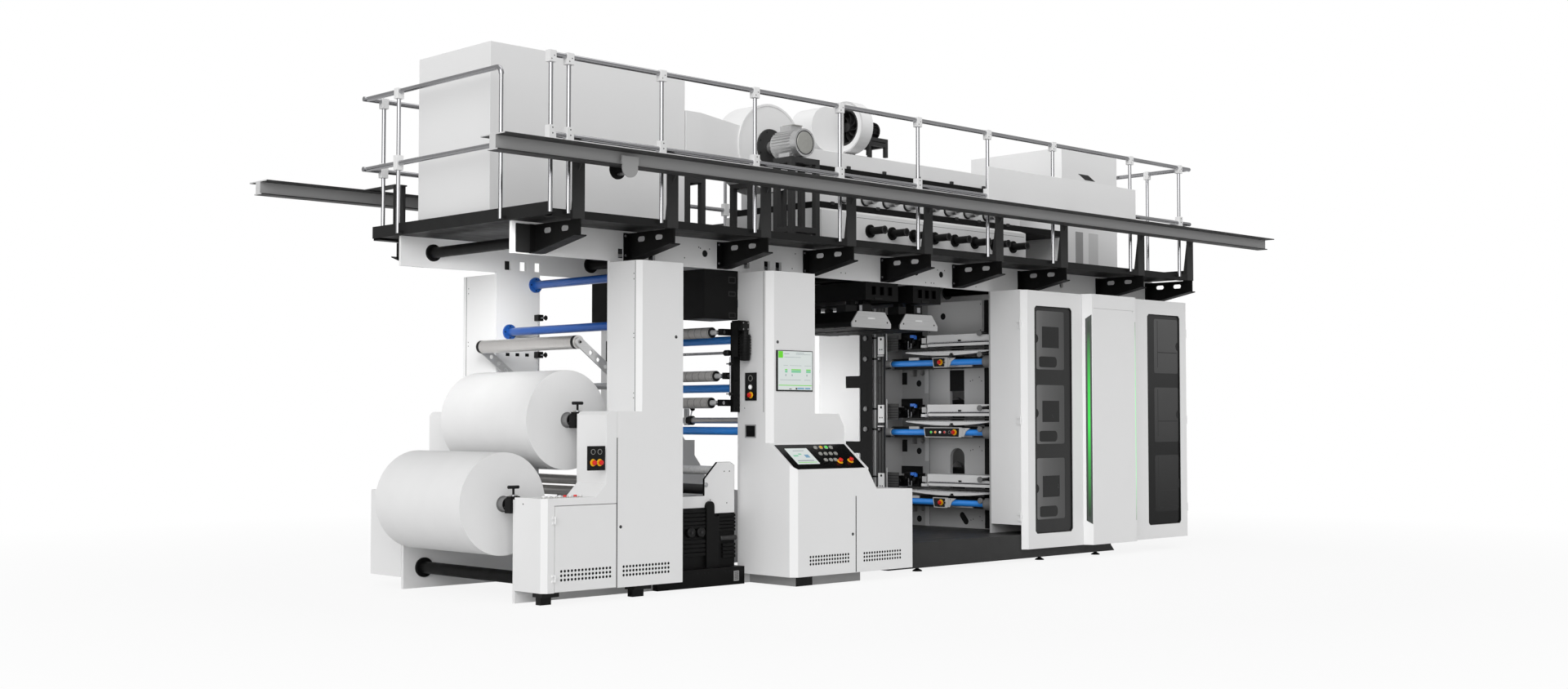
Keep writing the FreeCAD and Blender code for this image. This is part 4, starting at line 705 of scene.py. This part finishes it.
for x in (-2880, -2840, -2500, -2420, -2380, -2180, -2140):
    screw(infeed, front(-860), x, 118, 0, 5, "plastic")
infeed["mid"].plate(front(-860), -2090, -2032, 30, 116, 0, 5, 3)
for k in range(5):
    seam(infeed, front(-865.0), -2082, -2040, 44 + 14 * k, 49 + 14 * k)
# light sheet on the stand's plates, and the ribbed drive covers below it
SHEET = [(-2003, 606), (-2003, 1008), (-2052, 1038), (-2198, 1038), (-2343, 898), (-2343, 757), (-2698, 757),
         (-2796, 658), (-2343, 658), (-2343, 606)]
for face, flip in ((front(-770), 1), (back(-750), -1), (front(750), 1), (back(770), -1)):
    infeed["white"].slab(face, [(x * flip, z) for x, z in SHEET][::flip], 0, 2)
face = front(-770)
for x0, x1, z0, z1, n in ((-2690, -2348, 482, 650, 5), (-2690, -2348, 252, 395, 4),
                          (-2196, -2004, 448, 600, 5), (-2150, -2004, 222, 352, 4)):
    step = (z1 - z0) / n
    for k in range(n):
        infeed["black"].plate(face, x0, x1, z0 + step * k + 3, z0 + step * (k + 1) - 5, 2, 20, 3)
for x in (-2515, -2404):
    infeed["plastic"].rod((x, -770, 455), (x, -806, 455), 44, 24, 6)
    infeed["steel_grey"].rod((x, -806, 455), (x, -812, 455), 12, 12)
infeed["dark_roller"].rod((-2190, -792, 394), (-2006, -792, 394), 22, 20, 3)
infeed["steel"].rod((-2330, -771, 850), (-2330, -782, 850), 20, 16, 3)
for x, z in ((-2060, 960), (-2120, 960), (-2090, 690), (-2280, 720)):
    screw(infeed, front(-772), x, z, 0, 6)
infeed.done()

for name, (x, z) in INFEED.items():
    kit = Kit(name + "_end", name)
    for s in (-1, 1):
        kit["rubber_and_inlet_shade"].ring((x, s * 600, z), Y * s, 38, 46.8, 5)
        kit["light"].turn((x, s * 600, z), Y * s, [(2, 16.4), (2, 24), (70, 20), (74, 16.4), (2, 16.4)], 20)
    kit.done()

# Console: air holes, sloping panel, screen on the column
desk = Kit("console", bevel={"gloss_black": 1.5})
face = front(-DESK)
vents(desk, face, -1766, -1305, 187, 248)
vents(desk, face, -1104, -640, 182, 245)
seam(desk, face, -1213, -1203, 90, 743)
lock(desk, face, -1249, 417)
slope = Face((0, -1460, 982), X, Vector((0, 290, 222)).normalized())
panel = [(-1908, 4), (-1096, 4), (-1084, 332), (-1935, 332), (-1938, 34)]
desk["gloss_black"].slab(slope, panel, 0, 5)
desk["screen"].plate(slope, -1862, -1600, 66, 278, 5, 8, 4)
desk_blocks = {
    "screen_mint": ((-1832, -1776, 168, 186), (-1760, -1726, 190, 206)),
    "screen_grey": ((-1832, -1640, 104, 116), (-1790, -1660, 240, 247)),
    "screen_blue": ((-1700, -1650, 150, 190),),
    "screen_green": ((-1840, -1620, 84, 90),)}
column_blocks = {
    "screen_green": ((-1870, -1815, 1929, 1986), (-1866, -1466, 1692, 1698)),
    "screen_grey": ((-1800, -1600, 1935, 1938), (-1660, -1480, 1960, 1963), (-1800, -1740, 1962, 1967),
                    (-1660, -1560, 1972, 1976), (-1850, -1600, 1740, 1743), (-1560, -1480, 1740, 1743)),
    "screen_blue": ((-1640, -1560, 1662, 1676), (-1548, -1484, 1662, 1676)),
    "plastic": ((-1740, -1712, 1662, 1668), (-1662, -1644, 1660, 1674))}
column = front(-CABINET)
for face, w, table in ((slope, 8, desk_blocks), (column, 9, column_blocks)):
    for key, blocks in table.items():
        for block in blocks:
            desk[key].plate(face, *block, w, w + 0.6)
for v, row in ((284, (-1482, -1416, -1352, -1292)), (200, (-1487, -1424, -1362, -1300)),
               (116, (-1489, -1426, -1370))):
    for u in row:
        lamp(desk, slope, u, v, {-1416: "yellow", -1352: "green"}.get(u, "silver_cap"), 5, 15)
e_stop(desk, slope, -1337, 90, 5, 21)
e_stop(desk, slope, -1201, 96, 5, 21)
desk["plastic"].plate(column, -1890, -1452, 1644, 1994, 0, 7, 6)
desk["screen"].plate(column, -1872, -1460, 1656, 1988, 7, 9)
for u0, u1 in ((-1790, -1762), (-1714, -1599), (-1535, -1480)):
    desk["screen_green"].plate(column, u0, u1, 1826, 1834, 9, 9.6)
    desk["screen_mint"].plate(column, u0, u1, 1804, 1824, 9, 9.6)
    desk["screen_grey"].plate(column, u0 - 20, u1 + 6, 1864, 1866.5, 9, 9.6)
    desk["screen_grey"].plate(column, u0 + 4, u0 + 14, 1774, 1790, 9, 9.6)
lock(desk, column, -1870, 2063)
face = left(CONSOLE_X)
desk["gloss_black"].plate(face, 872, 1012, 1564, 1804, 0, 8, 5)
ring_key(desk, face, 942, 1755, 8, 26)
lamp(desk, face, 942, 1680, "lamp_white", 8, 17)
e_stop(desk, face, 945, 1612, 8)
seam(desk, face, 1093, 1098, 1465, 2665)
desk["mid"].frame(face, rounded(870, 1005, 1246, 1360, 4), rounded(880, 995, 1256, 1350, 3), 0, 6)
desk["gloss_black"].plate(face, 880, 995, 1256, 1350, 0, 2)
for y, z in ((830, 2240), (830, 1960), (860, 1500)):
    screw(desk, face, y, z, 0, 5, "steel_grey")
desk["plastic"].box(-1842, -1650, -1366, -1240, 0, 84)
desk.done()

# Print bay: far housing face, guards, knobs, deck fittings
bay = Kit("bay", bevel={"white": 2.0})
face = left(PRINT_X)
bay["gloss_black"].plate(face, -1186, -801, 330, 2640, 0, 10)
for v0, v1 in ((340, 1041), (1165, 1738), (1867, 2630)):
    bay["white"].plate(face, -1182, -971, v0, v1, 10, 26, 12)
seam(bay, face, -1197, -1192, 120, 2640)
for y0, y1 in ((803, 850), (743, 796), (694, 736), (655, 687)):
    bay["guard"].box(1478, 1492, y0, y1, 330, 2640)
    bay["steel_grey"].box(1474, 1496, y0 - 4, y0, 330, 2640)
bay["black"].box(1470, 1510, 648, 858, 2610, 2650).box(1470, 1510, 648, 858, 300, 330)
for d, low, high in zip(DECKS, (33, 30, 56), (251, 246, 278)):
    for z in (d + low, d + high):
        bay["knob"].rod((1436, 893, z), (1452, 893, z), 27, 24, 3)
        bay["plastic"].rod((1452, 893, z), (1500, 893, z), 15, 16)
        bay["plastic"].rod((1484, 720, z), (1484, 893, z), 12, 12)
    bay["plastic"].box(1476, 1500, 690, 740, d + low - 34, d + low + 20)
    bay["light"].box(1462, 1476, 650, 730, d + low + 24, d + low + 38)
    bay["steel"].rod((1450, 705, d + low), (1476, 705, d + low), 14, 12, 2)
# boxes (x, y and z pairs) and rods (ends, radius, sides, bevel) of one deck, from its own height
DECK_BOXES = (
    ("white", 1464, 1474, 642, 728, 100, 288), ("light", 1470, 1476, 603, 612, 36, 346),
    ("guard", 1500, 1505, 470, 640, 130, 300), ("plastic", 1612, 1700, 500, 590, 150, 262),
    ("plastic", 1600, 1690, 380, 480, 168, 300), ("black", 1620, 1720, 290, 390, 150, 290),
    ("blue_fitting", 1582, 1610, 322, 376, 270, 300), ("blue_fitting", 1586, 1606, 300, 326, 256, 290),
    ("brushed", 1594, 1604, 166, 224, 205, 262), ("white", 1568, 1604, 146, 214, 160, 190),
    ("hole", 1598, 1604.5, -672, 146, 197, 205), ("steel", 1592, 1604, -672, 120, 205, 214),
    ("steel_grey", 1585, 1606, -700, 420, 136, 150), ("gloss_black", 1598, 1604.5, -300, -264, 214, 232),
    ("hole", 1573.5, 1576, -214, -178, 78, 96), ("steel_grey", 1570, 1580, -224, -168, 70, 80),
    ("steel", 1571, 1574.5, -700, 424, 112, 118), ("steel", 1560, 1620, 630, 700, -56, -38),
    ("brushed", 1640, 1662, -420, 20, -48, -10), ("brushed", 1590, 1606, 260, 400, 33, 60),
    *(("black", 1496, 1500, 474, 636, dz, dz + 5) for dz in (150, 176, 204, 232, 262)))
DECK_RODS = (
    ("plastic", (1600, 440, 240), (1560, 440, 240), 24, 16, 4),
    ("plastic", (1606, 540, 205), (1572, 540, 205), 30, 16, 4),
    ("black", (1616, 352, 200), (1586, 352, 200), 22, 14, 3),
    ("plastic", (1610, 470, 290), (1610, 300, 262), 9, 10, 0),
    ("steel", (1580, 400, 150), (1580, 400, 236), 6, 10, 0),
    ("steel", (1572, 352, 160), (1572, 352, 212), 5, 10, 0),
    ("plastic", (1610, 330, 230), (1580, 330, 230), 18, 14, 3),
    ("plastic", (1612, 250, 250), (1590, 250, 250), 14, 12, 2),
    ("knob", (1605, -770, 0), (1605, -620, 0), 62, 28, 5),
    ("light", (1605, 640, 0), (1605, 768, 0), 40, 20, 4))
for d in DECKS:
    for key, x0, x1, y0, y1, z0, z1 in DECK_BOXES:
        bay[key].box(x0, x1, y0, y1, d + z0, d + z1)
    for key, start, end, *size in DECK_RODS:
        bay[key].rod(Vector(start) + Z * d, Vector(end) + Z * d, *size)
    for y, dz in ((684, 262), (700, 152), (670, 152)):
        screw(bay, face, -y, d + dz, -2, 8 if dz < 200 else 14, "plastic")
    high, low = (286, 72) if d > 1900 else (249, 36)
    for dz, y in ((high, -593), (low, -597)):
        bay["knob"].rod((1530, y, d + dz), (1552, y, d + dz), 29, 24, 3)
        bay["plastic"].rod((1552, y, d + dz), (1604, y - 60, d + dz + 6), 15, 14)
        bay["plastic"].rod((1604, y - 60, d + dz + 6), (1604, -764, d + dz + 6), 20, 14)
    bay["plastic"].turn((1605, -620, d), Y, [(0, 33), (0, 56), (4, 54), (4, 33), (0, 33)], 24)
    bay["hole"].ring((1605, 636, d), -Y, 20, 33.5, 6)
bay.done()

wall = Kit("wall")
face = left(1900)
wall["hole"].plate(face, 368, 768, 275, 2640, 0, 0.8)
wall["hole"].plate(face, -98, 98, 1700, 1920, 0, 0.6)
seam(wall, face, -386, -382, 290, 2290)
wall["light"].box(1889, 1899.5, -350, 392, 2300, 2640)
wall["hole"].disc((1888.6, 179, 2491), -X, 34)
for y, z in ((-330, 2330), (-330, 2600), (370, 2330)):
    screw(wall, left(1889), -y, z, 0, 6)
capsule = []
for u, v, start in ((65, 400, 38.9), (115, 338, 218.9)):
    for k in range(11):
        a = math.radians(start + 18 * k)
        capsule.append((u + 33 * math.cos(a), v + 33 * math.sin(a)))
wall["hole"].slab(face, capsule, 0.8, 1.4)
for d in DECKS:
    wall["hole"].plate(face, -802, -699, d - 214, d - 84, 0, 1.2)
    wall["hole"].disc(face.at(-530, d - 204), -X, 34, 1)
    wall["plastic"].box(1884, 1900, 478, 768, d + 275, d + 356)
    wall["light"].box(1892, 1899.5, 386, 442, d - 310, d - 60)
    for y, dz in ((-180, -190), (-210, -180), (-330, -190), (-300, -150), (330, -60)):
        screw(wall, face, -y, d + dz, 0, 6)
wall.done()

# Control boxes on the middle bars
box_face = left(1543)
boxes = Kit("deck_controls", bevel={"gloss_black": 1.0, "light": 1.5})
for i, d in enumerate(DECKS):
    mid, half = (-88, 243) if i == 1 else (-53, 88)
    u0, u1 = -mid - half, -mid + half
    plate = [(u0 + 25, d - 44), (u1 - 14, d - 44), (u1 - 8, d + 44), (u0 + 11, d + 44)]
    boxes["gloss_black"].slab(box_face, plate, 0, 1.5)
    tab = left(1572)
    lug = [(u1 - 16, d - 46), (u1 + 34, d - 46), (u1 + 60, d + 8), (u1 + 118, d + 46), (u1 - 16, d + 46)]
    boxes["light"].slab(tab, lug, 0, 10)
    screw(boxes, tab, u1 + 44, d + 34, 10, 5)
    if i == 1:
        for u, key in ((-50, "green"), (7, "orange"), (70, "lamp_white"), (132, "lamp_red")):
            lamp(boxes, box_face, u, d + 2, key, 1.5, 11)
        ring_key(boxes, box_face, 196, d + 2, 1.5, 16)
        e_stop(boxes, box_face, 260, d + 2, 1.5, 22)
    else:
        e_stop(boxes, box_face, 76, d + 2, 1.5, 22)
        ring_key(boxes, box_face, 127, d, 1.5, 15)
boxes.done()

# Enclosure: door windows with cut corners, fields in the panes, light strips, levelling feet
def half_disc(u, v, side):
    """Outline that bulges from the line at u to one side of it."""
    turns = [math.pi * k / 12 for k in range(13)]
    return [(u + side * 62 * math.sin(a), v + 50 * math.cos(a)) for a in turns]


cut, pane_z0, pane_z1 = 28, 272, 2532
face, pane = front(-DOOR), front(-1206.7)
for side, x0, x1, sub, field in (("left", 1628, 2250, 1680, "tint_light"),
                                 ("right", 3598, 4228, 3752, "tint_field")):
    kit = Kit(side + "_window", side + "_door")
    for u, du in ((x0, 1), (x1, -1)):
        for v, dv in ((pane_z0, 1), (pane_z1, -1)):
            kit["white"].slab(face, [(u, v), (u + cut * du, v), (u, v + cut * dv)], -17.5, -0.2)
    outer = rounded(x0, x1, pane_z0, pane_z1, cut, 1)
    mid_x, mid_z = (x0 + x1) / 2, (pane_z0 + pane_z1) / 2
    inner = [(u + (7 if u < mid_x else -7), v + (7 if v < mid_z else -7)) for u, v in outer]
    kit["plastic"].frame(face, outer, inner, -17.6, -6)
    for v0, v1 in ((410, 1016), (1158, 1745), (1900, 2486)):
        kit[field].plate(pane, sub, sub + 455, v0, v1, 0, 0.6, 22)
        if side == "left":
            kit["tint_dark"].plate(pane, sub + 92, sub + 370, v0 + 218, v0 + 430, 0.6, 1.0)
            kit["tint_dark"].plate(pane, sub + 30, sub + 336, v0 + 22, v0 + 130, 0.6, 1.0, 44)
            kit["tint_light"].plate(pane, sub + 14, sub + 42, v0 + 30, v0 + 118, 1.0, 1.4, 8)
            kit["tint_dark"].slab(pane, half_disc(sub - 30, v0 + 306, 1), 0.6, 1.2)
        else:
            kit["tint_dark"].plate(pane, sub + 60, sub + 68, v0 + 60, v1 - 20, 0.6, 1.0)
            kit["tint_dark"].plate(pane, sub + 70, sub + 440, v0 + 220, v0 + 228, 0.6, 1.0)
            kit["tint_dark"].slab(pane, half_disc(sub + 475, v0 + 296, -1), 0.6, 1.2)
    kit.done()
led = Kit("light_strip")
slant = Face((2421, -DOOR, 0), Vector((52, -90, 0)).normalized(), Z)
led["led_end"].slab(slant, [(34, 372), (98, 336), (98, 2474), (34, 2432)], 0, 1.5)
led["led"].slab(slant, [(54, 420), (80, 405), (80, 2420), (54, 2400)], 1.5, 3.0)
centre_panel = front(-1315)
led["led_pale"].plate(centre_panel, 3232, 3240, 346, 2426, 0, 1.2)
led["mid"].plate(centre_panel, 2500, 3215, 2538, 2541, 0, 0.5)
led["mid"].plate(centre_panel, 3190, 3193, 2520, 2541, 0, 0.5)
foot = [(0, 0), (0, 46), (8, 44), (22, 20), (26, 14), (36, 14), (36, 0)]
for x in (0, 1850, 2800):
    led["plastic"].turn((x, -1100, 0), Z, foot, 24)
led.done()

# Platform: blower motor fins and cap, fan flanges, rail lugs, clamp screws
roof = Kit("platform", bevel={"brushed": 1.0, "silver_cap": 1.0})
motor_x, motor_z = -1158.0, 3895.0
for k in range(26):
    a = math.radians(20 + 320 * k / 25 + 90)
    fin = Face((motor_x, 0, motor_z), Y, (math.cos(a), 0, math.sin(a)))
    roof["brushed"].slab(fin, [(-714, 114), (-475, 114), (-475, 134), (-714, 134)], -2, 2)
roof["silver_cap"].turn((motor_x, -790, motor_z), -Y, [(0, 0), (0, 100), (3, 98), (7, 60), (8, 0)], 32)
roof["hole"].ring((motor_x, -790, motor_z), -Y, 102, 110, 1.0, 32)
for k in range(4):
    a = math.radians(45 + 90 * k)
    bolt(roof, front(-790), motor_x + 119 * math.cos(a), motor_z + 119 * math.sin(a), 0, 4)
roof["steel_grey"].turn((motor_x, -345, motor_z), -Y, [(0, 60), (0, 176), (12, 172), (12, 60), (0, 60)], 36)
bolt_circle(roof, (motor_x, -357, motor_z), -Y, 150, 8, 8, "plastic")
roof["white"].ring((motor_x, -345, motor_z), -Y, 385, 405, 6, 48)
roof["silver_cap"].box(motor_x - 60, motor_x + 60, -700, -560, motor_z + 164, motor_z + 172)
roof["light"].ring((0, *FAN), -X, 236, 250, 5, 40)
for k in range(16):
    a = 2 * math.pi * k / 16
    fin = Face((0, *FAN), X, (0, math.cos(a), math.sin(a)))
    roof["plastic"].slab(fin, [(175, 76), (395, 76), (395, 92), (175, 92)], -2, 2)
roof["plastic"].turn((398, *FAN), X, [(0, 0), (0, 94), (24, 92), (32, 70), (32, 0)], 24)
for x in (-90, 421, 932, 1444, 1962, 2480):
    roof["steel_grey"].box(x - 20, x + 20, -330, -312, 3810, 3838)
for x in (-603, 23, 606, 1189, 1544, 2012):
    roof["steel_grey"].box(x - 18, x + 18, -608, -590, 3398, 3426)
seam(roof, front(-650), -330, 2218, 3296, 3299)
for i in range(8):
    x = -150 + 310 * i
    roof["steel_grey"].ring((x, -840, 3180), -Y, 26, 40, 4)
    roof["hole"].disc((x, -840.2, 3180), -Y, 26, 0.5, 20)
    roof["plastic"].ring((x, -300, 3535), -Y, 50, 60, 14)
    roof["steel"].ring((x, -520, 3535), -Y, 12, 28, 3)
    bolt_circle(roof, (x, -668, 3180), -Y, 52, 4, 5)
cabinet_front = front(-500)
roof["steel_grey"].slab(cabinet_front, [(3377, 4092), (3560, 4092), (3690, 4034), (3507, 4034)], 0, 1.5)
roof["deck_grey"].plate(front(-PLATE), -4325, -4197, 2692, 2916, 0, 10, 3)
# Painted shade below the sign: a mid grey and a light grey strip on the white roof cabinet's front.
roof["mid"].plate(cabinet_front, 3319, 3457, 3000, 3452, 0, 1.2)
roof["light"].plate(cabinet_front, 3560, 3738, 3000, 3452, 0, 1.2)
TOP_RAIL, MID_RAIL = 4125.0, 3525.0
for x in (-4436.0, -4270.0, -3358.0, -2347.0, -1331.0, -305.0, 699.0, 1720.0, 3055.0, 3975.0):
    for face in (front(-1418), back(1232)):
        if face.n.y > 0 and x < -4300:
            continue
        u = x if face.n.y < 0 else -x
        for dz in (-38, 4, 46):
            screw(roof, face, u, MID_RAIL + dz, 0, 6, "steel_grey")
        for du, dz in ((-12, -40), (12, -14)):
            screw(roof, face, u + du, TOP_RAIL + dz, 0, 5, "steel_grey")
for dz in (-38, 4, 46):
    screw(roof, left(-4468), 757, MID_RAIL + dz, 0, 6, "steel_grey")
roof.done()

# Drive side: seams, air holes and locks of the closed housings
rear = Kit("rear")
face = back(1600)
for x in (2183, 2903, 3624):
    seam(rear, face, -x - 3, -x + 3, 150, 2650)
seam(rear, face, -4320, -1487, 296, 302)
for x in (1462, 2183, 2903, 3624):
    for v in (350, 2410):
        vents(rear, face, -x - 590, -x - 130, v, v + 64)
    lock(rear, face, -x - 668, 1300)
for z in (300, 2480):
    seam(rear, left(PRINT_X), -1580, -1130, z, z + 5)
    seam(rear, right(4345), 1130, 1580, z, z + 5)
face = back(CABINET)
for x0, x1, z0, z1 in ((3085, 3544, 191, 257), (3679, 4149, 191, 257), (1180, 1640, 187, 248)):
    vents(rear, face, x0, x1, z0, z1)
seam(rear, face, 3609, 3617, 97, 1262)
seam(rear, face, 1065, 1910, 1100, 1105)
for x, z in ((3576, 568), (3011, 2068), (1130, 620), (1480, 2063)):
    lock(rear, face, x, z)
face = back(684)
for x in (-3570, -2887):
    seam(rear, face, -x - 3, -x + 3, 2990, 4405)
for x in (-3640, -2957, -2274):
    lock(rear, face, -x, 3640)
    vents(rear, face, -x + 60, -x + 520, 4240, 4304)
face = back(700)
for x in (3368, 3736):
    seam(rear, face, -x - 2, -x + 2, 2990, 4325)
seam(rear, right(4105), 98, 102, 2990, 4325)
for y, z0, z1, x0, x1 in ((650, 2990, 3350, -800, 2243), (500, 3430, 3975, -740, 2600)):
    for k in range(1, 5):
        x = x0 + (x1 - x0) * k / 5
        seam(rear, back(y), -x - 2, -x + 2, z0, z1)
rear.done()

# Stage: floor, backdrop, lights
WHITE = (1, 1, 1, 1)


def seen_by_lens(tree):
    """One for rays from the lens, also through a clear pane, and nought for light on the machine."""
    path = add(tree, "LightPath").outputs
    seen = add(tree, "Math", path["Is Camera Ray"], path["Is Transmission Ray"], operation="MAXIMUM")
    return seen.outputs["Value"]


world = bpy.data.worlds.new("studio")
scene.world = world
world.use_nodes = True
tree = world.node_tree
tree.nodes.clear()
lit = add(tree, "Background", Color=WHITE, Strength=0.46)
shown = add(tree, "Background", Color=WHITE, Strength=1.0)
mix = add(tree, "MixShader", seen_by_lens(tree), lit.outputs[0], shown.outputs[0])
add(tree, "OutputWorld", Surface=mix.outputs[0])

floor_mesh = bpy.data.meshes.new("floor")
floor_mesh.from_pydata([(-60, -60, 0), (60, -60, 0), (60, 60, 0), (-60, 60, 0)], [], [(0, 1, 2, 3)])
floor = bpy.data.objects.new("floor", floor_mesh)
scene.collection.objects.link(floor)
floor_mat, tree, shader = new_material("floor_white")
fill(tree, shader, Base_Color=(0.74, 0.74, 0.74, 1), Roughness=0.6, Specular_IOR_Level=0.2)
length = add(tree, "VectorMath", place(tree), operation="LENGTH")
fade = add(tree, "MapRange", length.outputs["Value"], 5.5, 11.0, 0.88, 1.0)
share = add(tree, "Math", fade.outputs["Result"], seen_by_lens(tree), operation="MULTIPLY")
white = add(tree, "Emission", Color=WHITE, Strength=1.0)
blend = add(tree, "MixShader", share.outputs["Value"], shader.outputs[0], white.outputs[0])
feed(tree, tree.nodes["Material Output"].inputs["Surface"], blend.outputs[0])
floor_mesh.materials.append(floor_mat)


def area(name, at, aim, size, power, spread=0):
    data = bpy.data.lights.new(name, "AREA")
    data.shape, data.size, data.energy = "DISK", size, power
    obj = bpy.data.objects.new(name, data)
    scene.collection.objects.link(obj)
    obj.location = at
    obj.rotation_euler = (Vector(aim) - Vector(at)).to_track_quat("-Z", "Y").to_euler()
    if spread:
        data.spread = math.radians(spread)
        obj.visible_camera = obj.visible_glossy = False


sun_data = bpy.data.lights.new("key", "SUN")
sun_data.energy, sun_data.angle = 2.4, math.radians(70)
sun = bpy.data.objects.new("key", sun_data)
scene.collection.objects.link(sun)
sun.rotation_euler = Vector((0.78, 0.58, -0.28)).to_track_quat("-Z", "Y").to_euler()
area("overhead", (0, -1, 15), (0, 0, 0), 14.0, 500)
area("rear", (6, 14, 8), (0, 0, 2), 9.0, 150)
area("housing_fill", (0.1, 1.9, 1.5), (1.46, 1.25, 1.5), 1.0, 6, 100)
area("unwinder_fill", (-4.9, -1.3, 2.5), (-3.45, 0.77, 2.15), 0.8, 5, 50)
scene.view_settings.view_transform = "Standard"
